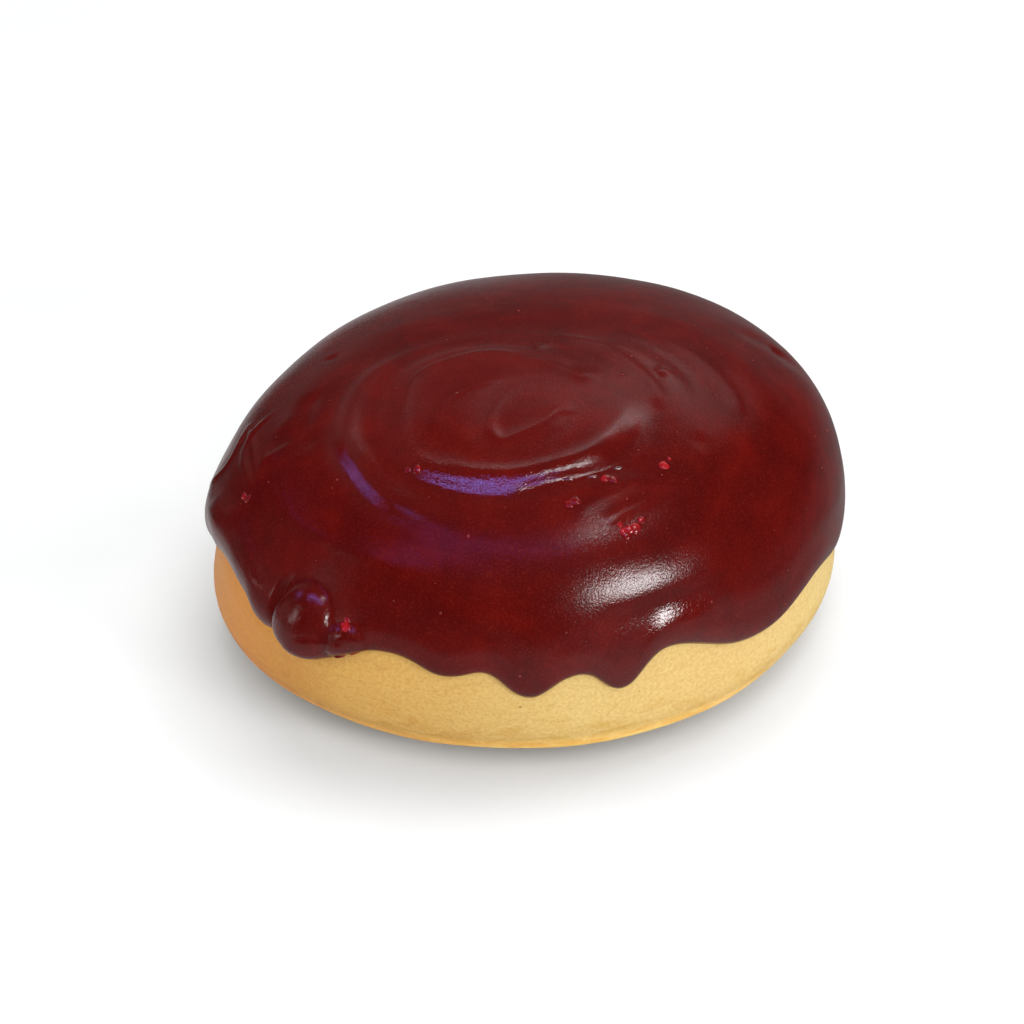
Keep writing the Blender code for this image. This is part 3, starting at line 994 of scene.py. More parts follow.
    def stroke_line(self, stroke: Stroke) -> np.ndarray:
        """Lay a stroke's line on the bun.

        Args:
            stroke: the stroke.

        Returns:
            The points of a smooth curve on the bun's surface.
        """
        path = smooth_path(np.array(stroke.points, dtype=float))
        if stroke.where is Where.PLAN:
            azimuth, walked = self.bun.under(path[:, 0], path[:, 1])
        else:
            azimuth, walked = np.radians(path[:, 0]), self.bun.walk_at_level(path[:, 1])
        return self.bun.smooth(azimuth, walked)

    def stroke_height(self, base: np.ndarray, normal: np.ndarray) -> np.ndarray:
        """Give the height of all the fine strokes.

        Args:
            base: points of the smooth bun.
            normal: the normals there.

        Returns:
            Heights along the normals.
        """
        height = np.zeros(len(base))
        for stroke in self.strokes:
            line = self.stroke_line(stroke)
            reach = 3.0 * max(stroke.left, stroke.right)
            low, high = line.min(axis=0) - reach, line.max(axis=0) + reach
            near = np.flatnonzero(np.all((base > low) & (base < high), axis=1))
            if not len(near):
                continue
            away = base[near][:, None, :] - line[None, :, :]
            nearest = np.linalg.norm(away, axis=2).argmin(axis=1)
            offset = away[np.arange(len(near)), nearest]
            along = np.gradient(line, axis=0)
            along /= np.linalg.norm(along, axis=1, keepdims=True)
            side = np.einsum("ij,ij->i", np.cross(normal[near], along[nearest]), offset)
            past = np.einsum("ij,ij->i", along[nearest], offset)
            width = np.where(side > 0.0, stroke.left, stroke.right)
            share = nearest / (len(line) - 1.0)
            taper = fall(share / stroke.taper) * fall((1.0 - share) / stroke.taper)
            height[near] += stroke.height * taper * np.exp(-(side / width) ** 2 - (past / stroke.past) ** 2)
        return height

    def dent_height(self, base: np.ndarray) -> np.ndarray:
        """Give the height of the small hollows and knobs.

        Args:
            base: points of the smooth bun.

        Returns:
            Heights along the normals.
        """
        height = np.zeros(len(base))
        for dent in self.dents:
            away = np.hypot(base[:, 0] - dent.x, base[:, 1] - dent.y) / dent.size
            height -= dent.depth * np.exp(-away ** 2) * (base[:, 2] > 0.0)
        return height

    def offset(self, azimuth: np.ndarray, walked: np.ndarray) -> np.ndarray:
        """Give the distance of the icing's outer skin off the bun.

        Args:
            azimuth: azimuths in radians.
            walked: walks down from the top.

        Returns:
            Distances in millimetres.
        """
        down = np.maximum(self.edge_walk(azimuth) - walked, 0.0)
        to_edge = down * (1.0 - (1.0 - self.edge_slant(azimuth)) * np.exp(-(down / self.slant_reach) ** 2))
        folded = self.in_fold(azimuth)
        rim = self.rim_width(azimuth)
        lip = self.fold[3] * folded * np.exp(-(np.maximum(to_edge - 0.7 * rim, 0.0) / self.fold_reach) ** 2)
        bead = self.bead[0] * np.exp(-((to_edge - self.bead[1]) / self.bead[2]) ** 2) * (1.0 - folded)
        base = self.bun.smooth(azimuth, walked)
        normal = self.bun.outward(azimuth, walked)
        relief = self.swirl(base[:, 0], base[:, 1]) * fall(to_edge / self.swirl_fade)
        fine = self.stroke_height(base, normal) + self.dent_height(base)
        depth = self.depth - self.contact + bead + lip + relief + self.lump_height(azimuth, walked)
        inset = 1.0 - np.clip(to_edge / rim, 0.0, 1.0)
        shape = np.sqrt(np.maximum(1.0 - inset ** 2, 0.0))
        return self.contact + (depth + fine) * shape


# ---------------------------------------------------------------- finishes


@dataclass(frozen=True)
class PouredChocolateIcing:
    """Chocolate sugar icing, poured warm and set: a satin skin over a dark, slightly clear red brown."""

    name: str = "poured_chocolate_icing"
    deep: str = "#470706"
    middle: str = "#500806"
    warm: str = "#5b0a06"
    stirred: str = "#7c160f"     # redder where the spoon thinned it
    sugar: str = "#80231a"       # sugar grains just under the skin
    sugar_share: float = 0.32
    roughness: tuple[float, float] = (0.10, 0.23)
    shine: tuple[float, float] = (0.09, 0.80)    # the crust that forms when it is left alone is drier
    cloud: float = 7.0           # millimetres across a cloud of lighter icing
    streak: float = 1.6          # millimetres between the spoon's streaks
    fine_streak: float = 0.7     # and between the finest ones
    streak_height: float = 0.02
    grain: float = 0.30          # fine sugar is about 0.1 mm, drawn coarser so that it shows
    grain_height: float = 0.036

    def make(self) -> bpy.types.Material:
        """Build the material: clouded red brown, streaked along the swirl, with a grainy satin skin.

        Returns:
            The material.
        """
        material, tree, shader, place = start_material(self.name)
        turns = add(tree, "ShaderNodeAttribute", attribute_name="turns").outputs["Vector"]
        clouds = add(tree, "ShaderNodeTexNoise", {
            "Vector": place, "Scale": 1.0 / (self.cloud * MM), "Detail": 3.0, "Roughness": 0.6,
            "Distortion": 0.4,
        })
        streaks = add(tree, "ShaderNodeTexNoise", {
            "Vector": turns, "Scale": 1.0 / self.streak, "Detail": 2.0, "Roughness": 0.55,
        })
        fine = add(tree, "ShaderNodeTexNoise", {
            "Vector": turns, "Scale": 1.0 / self.fine_streak, "Detail": 3.0, "Roughness": 0.6,
        })
        both = add(tree, "ShaderNodeMix", {0: 0.25, 2: clouds, 3: streaks})
        colour = set_ramp(
            add(tree, "ShaderNodeValToRGB", {"Fac": both}),
            [(0.34, self.deep), (0.50, self.middle), (0.66, self.warm)],
        )
        worked = add(tree, "ShaderNodeAttribute", attribute_name="worked").outputs["Fac"]
        glossy = add(tree, "ShaderNodeAttribute", attribute_name="glossy").outputs["Fac"]
        rough = add(tree, "ShaderNodeMapRange", {
            "Value": glossy, "To Min": self.roughness[1], "To Max": self.roughness[0],
        })
        shine = add(tree, "ShaderNodeMapRange", {
            "Value": glossy, "To Min": self.shine[0], "To Max": self.shine[1],
        })
        grain = add(tree, "ShaderNodeTexNoise", {
            "Vector": place, "Scale": 1.0 / (self.grain * MM), "Detail": 2.0, "Roughness": 0.6,
        })
        bump = add(tree, "ShaderNodeBump", {
            "Height": grain.outputs["Fac"], "Strength": 1.0, "Distance": self.grain_height * MM,
        })
        streak_bump = add(tree, "ShaderNodeBump", {
            "Height": fine.outputs["Fac"], "Strength": worked, "Distance": self.streak_height * MM,
            "Normal": bump.outputs["Normal"],
        })
        speck = add(tree, "ShaderNodeMapRange", {
            "Value": grain, "From Min": 0.50, "From Max": 0.78, "To Max": self.sugar_share,
        })
        thinned = add(tree, "ShaderNodeMix", {
            0: add(tree, "ShaderNodeAttribute", attribute_name="stirred").outputs["Fac"],
            6: colour, 7: linear(self.stirred),
        }, data_type="RGBA")
        speckled = add(tree, "ShaderNodeMix", {
            0: speck, 6: thinned.outputs[2], 7: linear(self.sugar),
        }, data_type="RGBA")
        finish_shader(tree, shader, {
            "Base Color": speckled.outputs[2], "Roughness": rough.outputs[0],
            "Specular IOR Level": shine.outputs[0], "Normal": streak_bump.outputs["Normal"],
        }, {
            "IOR": 1.46, "Subsurface Weight": 0.06, "Subsurface Radius": (1.0, 0.22, 0.12),
            "Subsurface Scale": 1.2 * MM,
        })
        return material


@dataclass(frozen=True)
class FriedDough:
    """Yeast dough fried in oil: a soft gold skin, browner towards the foot, with a fine crumb grain."""

    name: str = "fried_yeast_dough"
    pale: str = "#f4d88a"
    gold: str = "#e2b857"
    orange: str = "#d69c42"
    brown: str = "#c08036"
    # tint from the left to the right, x in millimetres and colour: browner on the left, that lay longer in
    # the oil, and darker there too, a painted shade on the side that the lamps light least
    tan_and_side_shade: tuple[tuple[float, str], ...] = (
        (-41.0, "#e0a42c"), (-33.0, "#d9ae66"), (-25.0, "#e3ca9f"), (-10.0, "#e1d1b9"), (6.0, "#eae6e2"),
        (27.0, "#ece5e2"), (36.0, "#f2f0f3"), (42.0, "#f6f6f6"),
    )
    glow: str = "#b9aea0"        # what it looks like to the board, so that its glow there stays faint
    painted_bounce: float = 2.3      # painted bounce light from the board: how many times lighter the last millimetres over the foot are
    browned: tuple[float, float] = (0.5, 17.0)   # levels from brown at the foot to pale
    lighter: tuple[float, float] = (4.0, 8.5)    # and over which that painted bounce light fades
    mottle: float = 4.0          # millimetres across a browned patch
    mottle_share: tuple[float, float] = (-0.35, 1.05)    # how much it lowers or lifts the browning
    crease: float = 16.0         # millimetres between the fine browned creases that run round it
    crease_width: float = 0.007  # a share of the way from one to the next
    crease_share: float = 0.16
    grain: float = 0.45          # millimetres across a pore of the skin
    grain_height: float = 0.03

    def make(self) -> bpy.types.Material:
        """Build the material: gold with orange low down, faint brown arcs, fine pores, a painted shade
        darkening the left side and a painted bounce light lifting the last millimetres over the foot.

        Returns:
            The material.
        """
        material, tree, shader, place = start_material(self.name)
        parts = add(tree, "ShaderNodeSeparateXYZ", {"Vector": place})
        height = parts.outputs["Z"]
        flat = add(tree, "ShaderNodeVectorMath", {0: place, 1: (1.0, 1.0, 2.6)}, operation="MULTIPLY")
        patches = add(tree, "ShaderNodeTexNoise", {
            "Vector": flat, "Scale": 1.0 / (self.mottle * MM), "Detail": 4.0, "Roughness": 0.62,
            "Distortion": 0.6,
        })
        low = add(tree, "ShaderNodeMapRange", {
            "Value": height, "From Min": self.browned[0] * MM, "From Max": self.browned[1] * MM,
        })
        mottled = add(tree, "ShaderNodeMapRange", {
            "Value": patches, "To Min": self.mottle_share[0], "To Max": self.mottle_share[1],
        })
        mixed = add(tree, "ShaderNodeMath", {0: low, 1: mottled}, operation="ADD")
        colour = set_ramp(
            add(tree, "ShaderNodeValToRGB", {"Fac": mixed}),
            [(0.10, self.brown), (0.28, self.orange), (0.60, self.gold), (1.0, self.pale)],
        )
        grain = add(tree, "ShaderNodeTexNoise", {
            "Vector": place, "Scale": 1.0 / (self.grain * MM), "Detail": 3.0, "Roughness": 0.65,
        })
        pores = add(tree, "ShaderNodeMapRange", {
            "Value": grain, "From Min": 0.35, "From Max": 0.75, "To Max": 0.6,
        })
        speckled = add(tree, "ShaderNodeMix", {0: pores, 6: colour, 7: linear(self.orange)}, data_type="RGBA")
        drawn = add(tree, "ShaderNodeVectorMath", {0: place, 1: (1.0, 1.0, 4.0)}, operation="MULTIPLY")
        folds = add(tree, "ShaderNodeTexNoise", {
            "Vector": drawn, "Scale": 1.0 / (self.crease * MM), "Detail": 0.6, "Distortion": 0.3,
        })
        on_line = add(tree, "ShaderNodeMath", {0: folds, 1: 0.5, 2: self.crease_width}, operation="COMPARE")
        faint = add(tree, "ShaderNodeMath", {0: on_line, 1: self.crease_share}, operation="MULTIPLY")
        creased = add(tree, "ShaderNodeMix", {
            0: faint, 6: speckled.outputs[2], 7: linear(self.brown),
        }, data_type="RGBA")
        bump = add(tree, "ShaderNodeBump", {
            "Height": grain.outputs["Fac"], "Strength": 1.0, "Distance": self.grain_height * MM,
        })
        # the side tint: browner to the left, and darker there as painted shade
        across = add(tree, "ShaderNodeMapRange", {
            "Value": parts.outputs["X"], "From Min": -BUN_HALF * MM, "From Max": BUN_HALF * MM,
        })
        side = set_ramp(
            add(tree, "ShaderNodeValToRGB", {"Fac": across}),
            [((x + BUN_HALF) / (2.0 * BUN_HALF), colour) for x, colour in self.tan_and_side_shade],
        )
        tanned_and_shaded = add(tree, "ShaderNodeMix", {
            0: 1.0, 6: creased.outputs[2], 7: side,
        }, data_type="RGBA", blend_type="MULTIPLY")
        # painted bounce light: the last millimetres over the foot made lighter, as if lit from the board
        lower = add(tree, "ShaderNodeMapRange", {
            "Value": height, "From Min": self.lighter[0] * MM, "From Max": self.lighter[1] * MM,
            "To Min": self.painted_bounce,
        })
        bounce_lit = add(tree, "ShaderNodeVectorMath", {0: tanned_and_shaded.outputs[2], 3: lower}, operation="SCALE")
        told = add(tree, "ShaderNodeMix", {
            0: add(tree, "ShaderNodeLightPath").outputs["Is Diffuse Ray"], 6: bounce_lit, 7: linear(self.glow),
        }, data_type="RGBA")
        finish_shader(tree, shader, {"Base Color": told.outputs[2], "Normal": bump.outputs["Normal"]}, {
            "Roughness": 0.46, "IOR": 1.45, "Subsurface Weight": 0.12,
            "Subsurface Radius": (1.0, 0.55, 0.25), "Subsurface Scale": 2.0 * MM,
        })
        return material


@dataclass(frozen=True)
class Bits:
    """Small hard bits set in food: two shades of one colour and how glossy they are."""

    name: str
    light: str
    dark: str
    roughness: float
    gloss: float = 0.5
    coat: float = 0.0
    shade_size: float = 2.0      # millimetres from a light bit to a dark one

    def make(self) -> bpy.types.Material:
        """Build the material: each bit its own shade.

        Returns:
            The material.
        """
        material, tree, shader, place = start_material(self.name)
        shade = add(tree, "ShaderNodeTexNoise", {
            "Vector": place, "Scale": 1.0 / (self.shade_size * MM), "Detail": 1.0,
        })
        colour = set_ramp(
            add(tree, "ShaderNodeValToRGB", {"Fac": shade}), [(0.38, self.dark), (0.62, self.light)]
        )
        finish_shader(tree, shader, {"Base Color": colour}, {
            "Roughness": self.roughness, "Specular IOR Level": self.gloss, "Coat Weight": self.coat,
            "Coat Roughness": self.roughness,
        })
        return material


# sugar boiled clear and set: a wet look under a clear coat
SUGAR_GLAZE = Bits("set_sugar_glaze", "#5c0f0c", "#480a08", 0.12, 1.0, 1.0)
# cherry candied in syrup and chopped: clear red with wet cut faces, and its fine crumbs
CANDIED_CHERRY = Bits("candied_cherry", "#a3141a", "#6a0a0e", 0.16, 0.5)
CHERRY_CRUMB = Bits("cherry_crumb", "#86201a", "#64120e", 0.3)
# sugar that grained out as the icing set, stained by it
GRAINED_SUGAR = Bits("grained_sugar", "#8a4036", "#6a241c", 0.4)
# flour that scorched in the frying oil: dry and brown
BURNT_CRUMB = Bits("burnt_crumb", "#8a5a20", "#4a2c10", 0.6)


@dataclass(frozen=True)
class PaintedBoard:
    """White painted board, rolled matt: a plain floor with the faintest tooth."""

    name: str = "white_painted_board"
    white: str = "#fafbfb"
    shade: str = "#f7f8f9"
    # painted shade that only reflections show: how much darker the board is to a glossy skin, so that its
    # edge keeps
    # its colour: the axis along which that changes, from where to where in millimetres, and how dark at each
    # end
    dark_front: tuple[str, float, float, float, float] = ("Y", -20.0, -50.0, 1.0, 0.0)
    dark_left: tuple[str, float, float, float, float] = ("X", -45.0, 10.0, 0.35, 0.74)
    dark_far_left: tuple[str, float, float, float, float] = ("X", -95.0, -70.0, 0.96, 0.0)
    dark_beside: tuple[str, float, float, float, float] = ("Y", 20.0, 60.0, 0.35, 1.0)
    dark_right: tuple[str, float, float, float, float] = ("X", 45.0, 85.0, 0.60, 0.80)

    def make(self) -> bpy.types.Material:
        """Build the material: near white, matt, with a barely seen mottle, and a painted shade that only
        glossy rays see.

        Returns:
            The material.
        """
        material, tree, shader, place = start_material(self.name)
        mottle = add(tree, "ShaderNodeTexNoise", {"Vector": place, "Scale": 40.0, "Detail": 2.0})
        colour = set_ramp(
            add(tree, "ShaderNodeValToRGB", {"Fac": mottle}), [(0.3, self.shade), (0.7, self.white)]
        )
        where = add(tree, "ShaderNodeSeparateXYZ", {"Vector": place})
        front, left, far_left, beside, right = (
            add(tree, "ShaderNodeMapRange", {
                "Value": where.outputs[axis], "From Min": start * MM, "From Max": end * MM,
                "To Min": at_start, "To Max": at_end,
            })
            for axis, start, end, at_start, at_end in (
                self.dark_front, self.dark_left, self.dark_far_left, self.dark_beside, self.dark_right,
            )
        )
        far = add(tree, "ShaderNodeMath", {0: far_left, 1: beside}, operation="MULTIPLY")
        behind = add(tree, "ShaderNodeMath", {0: left, 1: far}, operation="MAXIMUM")
        dark = add(tree, "ShaderNodeMix", {0: front, 2: right, 3: behind})
        # painted shade: to glossy rays the board turns darker in places
        shade_in_gloss = add(tree, "ShaderNodeMath", {
            0: add(tree, "ShaderNodeLightPath").outputs["Is Glossy Ray"], 1: dark,
        }, operation="MULTIPLY")
        dimmed = add(tree, "ShaderNodeMix", {
            0: shade_in_gloss, 6: colour, 7: (0.0, 0.0, 0.0, 1.0),
        }, data_type="RGBA")
        finish_shader(tree, shader, {"Base Color": dimmed.outputs[2]}, {
            "Roughness": 0.9, "Specular IOR Level": 0.1,
        })
        return material


# ---------------------------------------------------------------- Geometry Nodes trees


def relief_tree() -> bpy.types.NodeTree:
    """Make the tree that raises a skin unevenly along its normals.

    Returns:
        A tree with the inputs Wide Size, Wide Height, Fine Size, Fine Height, Streak Size, Streak
        Height, Seed and Material. The skin has the attributes turns, the way along the spoon's
        streaks, worked, how strong they are, and still, where nothing moves.
    """
    tree, given = new_tree("skin relief", [
        ("Wide Size", "NodeSocketFloat", 0.008),
        ("Wide Height", "NodeSocketFloat", 0.0001),
        ("Fine Size", "NodeSocketFloat", 0.002),
        ("Fine Height", "NodeSocketFloat", 0.00003),
        ("Streak Size", "NodeSocketFloat", 1.5),
        ("Streak Height", "NodeSocketFloat", 0.0),
        ("Seed", "NodeSocketFloat", 1.0),
    ])
    where = add(tree, "GeometryNodeInputPosition")
    normal = add(tree, "GeometryNodeInputNormal")
    kept = {
        name: add(tree, "GeometryNodeInputNamedAttribute", {"Name": name}, data_type=kind)
        for name, kind in (("turns", "FLOAT_VECTOR"), ("worked", "FLOAT"), ("still", "FLOAT"))
    }
    moving = add(tree, "ShaderNodeMath", {0: 1.0, 1: kept["still"]}, operation="SUBTRACT")
    lifts = []
    for kind, way, share in (
        ("Wide", where, moving), ("Fine", where, moving), ("Streak", kept["turns"], kept["worked"]),
    ):
        scale = add(tree, "ShaderNodeMath", {0: 1.0, 1: given.outputs[kind + " Size"]}, operation="DIVIDE")
        noise = add(tree, "ShaderNodeTexNoise", {
            "Vector": way, "W": given.outputs["Seed"], "Scale": scale, "Detail": 2.0,
        }, noise_dimensions="4D")
        level = add(tree, "ShaderNodeMath", {0: noise, 1: 0.5}, operation="SUBTRACT")
        lift = add(tree, "ShaderNodeMath", {
            0: level, 1: given.outputs[kind + " Height"],
        }, operation="MULTIPLY")
        lifts.append(add(tree, "ShaderNodeMath", {0: lift, 1: share}, operation="MULTIPLY"))
    total = lifts[0]
    for lift in lifts[1:]:
        total = add(tree, "ShaderNodeMath", {0: total, 1: lift}, operation="ADD")
    move = add(tree, "ShaderNodeVectorMath", {0: normal, 3: total}, operation="SCALE")
    moved = add(tree, "GeometryNodeSetPosition", {"Geometry": given.outputs["Geometry"], "Offset": move})
    return end_tree(tree, given, moved)


def scatter_tree() -> bpy.types.NodeTree:
    """Make the tree that strews small lumps over a skin.

    Returns:
        A tree with the inputs Density, Size, Spread, Flatness, Sink, Seed and Material. The skin
        has an attribute, share, that says how thickly each place is strewn.
    """
    tree, given = new_tree("strewn bits", [
        ("Density", "NodeSocketFloat", 1000.0),
        ("Size", "NodeSocketFloat", 0.0004),
        ("Spread", "NodeSocketFloat", 0.5),
        ("Flatness", "NodeSocketFloat", 0.5),
        ("Sink", "NodeSocketFloat", 0.0),
        ("Seed", "NodeSocketInt", 1),
    ])
    share = add(tree, "GeometryNodeInputNamedAttribute", {"Name": "share"}, data_type="FLOAT")
    dense = add(tree, "ShaderNodeMath", {0: share, 1: given.outputs["Density"]}, operation="MULTIPLY")
    strewn = add(tree, "GeometryNodeDistributePointsOnFaces", {
        "Mesh": given.outputs["Geometry"], "Density": dense, "Seed": given.outputs["Seed"],
    }, distribute_method="RANDOM")
    # an uneven pebble
    ball = add(tree, "GeometryNodeMeshIcoSphere", {"Radius": 0.5, "Subdivisions": 2})
    where = add(tree, "GeometryNodeInputPosition")
    rough = add(tree, "ShaderNodeTexNoise", {"Vector": where, "Scale": 2.6, "Detail": 1.0})
    level = add(tree, "ShaderNodeMath", {0: rough, 1: 0.5}, operation="SUBTRACT")
    push = add(tree, "ShaderNodeVectorMath", {0: where, 3: level}, operation="SCALE")
    pebble = add(tree, "GeometryNodeSetPosition", {"Geometry": ball, "Offset": push})
    # its size and how it lies
    low = add(tree, "ShaderNodeMath", {0: 1.0, 1: given.outputs["Spread"]}, operation="SUBTRACT")
    high = add(tree, "ShaderNodeMath", {0: 1.0, 1: given.outputs["Spread"]}, operation="ADD")
    grown = add(tree, "FunctionNodeRandomValue", {
        2: low, 3: high, "Seed": given.outputs["Seed"],
    }, data_type="FLOAT")
    long = add(tree, "FunctionNodeRandomValue", {2: 0.65, 3: 1.0, "Seed": 7}, data_type="FLOAT")
    spin = add(tree, "FunctionNodeRandomValue", {2: 0.0, 3: 6.283, "Seed": 11}, data_type="FLOAT")
    across = add(tree, "ShaderNodeMath", {
        0: grown.outputs[1], 1: given.outputs["Size"],
    }, operation="MULTIPLY")
    tall = add(tree, "ShaderNodeMath", {0: across, 1: given.outputs["Flatness"]}, operation="MULTIPLY")
    wide = add(tree, "ShaderNodeMath", {0: across, 1: long.outputs[1]}, operation="MULTIPLY")
    scale = add(tree, "ShaderNodeCombineXYZ", {"X": across, "Y": wide, "Z": tall})
    turned = add(tree, "FunctionNodeAxisAngleToRotation", {"Axis": (0.0, 0.0, 1.0), "Angle": spin.outputs[1]})
    turn = add(tree, "FunctionNodeRotateRotation", {
        0: strewn.outputs["Rotation"], 1: turned,
    }, rotation_space="LOCAL")
    placed = add(tree, "GeometryNodeInstanceOnPoints", {
        "Points": strewn.outputs["Points"], "Instance": pebble, "Rotation": turn, "Scale": scale,
    })
    down = add(tree, "ShaderNodeCombineXYZ", {"Z": given.outputs["Sink"]})
    sunk = add(tree, "GeometryNodeTranslateInstances", {"Instances": placed, "Translation": down})
    return end_tree(tree, given, sunk)


# ---------------------------------------------------------------- sub-assemblies


@dataclass
class FriedBun:
    """The bun: one closed skin down to its small flat foot."""

    form: BunForm
    columns: int = 480
    hidden_step: float = 1.2     # millimetres between rings under the icing
    shown_step: float = 0.5      # and where the dough shows
    shown_from: float = 38.0     # walk where it starts to show
    sparse_within: tuple[tuple[float, int], ...] = ((5.0, 8), (12.0, 4), (24.0, 2))
    foot_rings: tuple[tuple[float, int], ...] = ((0.86, 2), (0.66, 4), (0.44, 8), (0.2, 16))
    crumbs_below: float = 9.0    # burnt crumbs lie lower than this

    def build(self, finish: FriedDough) -> bpy.types.Object:
        """Build the bun and dress it.

        Args:
            finish: the dough's finish.

        Returns:
            The bun's object.
        """
        upper = np.arange(self.hidden_step, self.shown_from, self.hidden_step)
        lower = np.arange(self.shown_from, self.form.foot_walk, self.shown_step)
        sizes, azimuths, walks = [1], [np.zeros(1)], [np.zeros(1)]
        for walked in (*upper, *lower, self.form.foot_walk):
            count = self.columns // sparseness(walked, self.sparse_within)
            sizes.append(count)
            azimuths.append(np.arange(count) * 2 * np.pi / count)
            walks.append(np.full(count, walked))
        azimuth, walked = np.concatenate(azimuths), np.concatenate(walks)
        points = self.form.points(azimuth, walked, np.zeros_like(azimuth))
        foot = points[-sizes[-1]:]
        foot[:, 2] = self.form.foot_level
        middle = foot.mean(axis=0)
        extra = []
        for share, sparse in self.foot_rings:
            extra.append(middle + (foot[::sparse] - middle) * share)
            sizes.append(len(extra[-1]))
        sizes.append(1)
        points = np.vstack([points, *extra, middle[None]])
        bun = skin_object("fried_bun", self.form.seated(points), ring_faces(sizes))
        over_foot = points[:, 2] - self.form.foot_level
        store(bun.data, "still", 1.0 - fall(over_foot / 3.0))
        store(bun.data, "share", (points[:, 2] < self.crumbs_below) * fall(over_foot / 2.0))
        run_tree(bun, relief_tree(), {
            "Wide Size": 11.0 * MM, "Wide Height": 0.18 * MM,
            "Fine Size": 1.8 * MM, "Fine Height": 0.08 * MM,
            "Seed": 3.0, "Material": finish.make(),
        })
        return bun


@dataclass
class IcingCap:
    """The cap of icing: outer skin, rounded lower edge and the skin against the dough."""

    form: IcingForm
    columns: int = 720
    rings: int = 146
    rim_rings: int = 9
    bits_above: float = 2.0      # bits lie higher than this
    across: float = 50.0         # millimetres from the top to the rim, for the rings' spacing
    sparse_within: tuple[tuple[float, int], ...] = ((2.5, 16), (6.0, 8), (12.0, 4), (23.0, 2))
    # the skin against the dough: each ring's share of the way down, and how many times fewer points
    inner_rings: tuple[tuple[float, int], ...] = (
        (0.97, 1), (0.93, 2), (0.88, 4), (0.82, 4), (0.75, 4), (0.67, 4), (0.58, 4), (0.48, 4), (0.37, 4),
        (0.25, 8), (0.12, 16),
    )

    def layout(self) -> tuple[list[int], np.ndarray, np.ndarray, np.ndarray]:
        """Place the rings, from the top down the outer skin and back up the inner one.

        Returns:
            The rings' sizes, and azimuth, walk and whether it is on the inner skin for each point.
        """
        insets = np.sin(0.5 * np.pi * np.arange(1, self.rim_rings + 1) / self.rim_rings)
        # each ring's size, its share of the way to where the rim starts and from there to the edge,
        # and whether it is on the inner skin
        rings = [(1, 0.0, 0.0, 0.0)]
        for share in np.arange(1, self.rings + 1) / self.rings:
            count = self.columns // sparseness(self.across * share, self.sparse_within)
            rings.append((count, share, 0.0, 0.0))
        rings += [(self.columns, 1.0, inset, 0.0) for inset in insets]
        rings += [(self.columns // sparse, share, share, 1.0) for share, sparse in self.inner_rings]
        rings.append((1, 0.0, 0.0, 1.0))
        azimuths = [np.arange(count) * 2 * np.pi / count for count, *_ in rings]
        walks = []
        for azimuth, (_, down, over, _) in zip(azimuths, rings):
            rim = self.form.rim_walk(azimuth)
            walks.append(down * rim + over * (self.form.edge_walk(azimuth) - rim))
        inside = [np.full(count, inner) for count, _, _, inner in rings]
        sizes = [count for count, *_ in rings]
        return sizes, np.concatenate(azimuths), np.concatenate(walks), np.concatenate(inside)

    def build(self, finish: PouredChocolateIcing) -> bpy.types.Object:
        """Build the cap and dress it.

        Args:
            finish: the icing's finish.

        Returns:
            The cap's object.
        """
        sizes, azimuth, walked, inside = self.layout()
        off = np.where(inside > 0.5, self.form.contact, self.form.offset(azimuth, walked))
        points = self.form.bun.points(azimuth, walked, off)
        cap = skin_object("icing_cap", self.form.bun.seated(points), ring_faces(sizes))
        x, y, z = points.T
        for name, values in (
            ("turns", self.form.turns(x, y)),
            ("worked", (1.0 - inside) * self.form.worked(x, y)),
            ("glossy", self.form.glossy(x, y, azimuth, walked)),
            ("stirred", self.form.stirred(x, y)),
            ("still", inside),
            ("share", (1.0 - inside) * (z > self.bits_above)),
        ):
            store(cap.data, name, values)
        run_tree(cap, relief_tree(), {
            "Wide Size": 9.0 * MM, "Wide Height": 0.14 * MM,
            "Fine Size": 2.2 * MM, "Fine Height": 0.03 * MM,
            "Streak Size": 1.8, "Streak Height": 0.20 * MM,
            "Seed": 5.0, "Material": finish.make(),
        })
        return cap


@dataclass
class Strewn:
    """Small bits strewn over a skin."""

    bun: BunForm
    name: str
    density: float               # bits to a square metre
    size: float                  # millimetres across
    spread: float                # how uneven their sizes are, as a share
    flatness: float              # height as a share of the size
    sink: float                  # millimetres out of the skin, below zero into it
    seed: int
    spots: tuple[Spot, ...] = ()

    def thicken(self, mesh: bpy.types.Mesh) -> None:
        """Raise the share of the bits at the spots.

        Args:
            mesh: the skin's copy.
        """
        places = np.empty(3 * len(mesh.vertices), dtype=np.float32)
        mesh.vertices.foreach_get("co", places)
        places = places.reshape(-1, 3) / MM - np.array([*self.bun.seat, -self.bun.foot_level])
        share = np.empty(len(mesh.vertices), dtype=np.float32)
        mesh.attributes["share"].data.foreach_get("value", share)
        thick = np.ones(len(places))
        for spot in self.spots:
            away = np.hypot(places[:, 0] - spot.x, places[:, 1] - spot.y) / spot.size
            thick += spot.times * np.exp(-away ** 4)
        mesh.attributes["share"].data.foreach_set("value", (share * thick).astype(np.float32))

    def build(self, skin: bpy.types.Object, tree: bpy.types.NodeTree, finish: Bits) -> bpy.types.Object:
        """Strew the bits over a skin.

        Args:
            skin: the object whose skin carries them.
            tree: the tree that strews.
            finish: their finish.

        Returns:
            The bits as one object.
        """
        obj = place_object(self.name, skin.data.copy())
        self.thicken(obj.data)
        run_tree(obj, tree, {
            "Density": self.density, "Size": self.size * MM, "Spread": self.spread,
            "Flatness": self.flatness, "Sink": self.sink * MM, "Seed": self.seed,
            "Material": finish.make(),
        })
        return obj


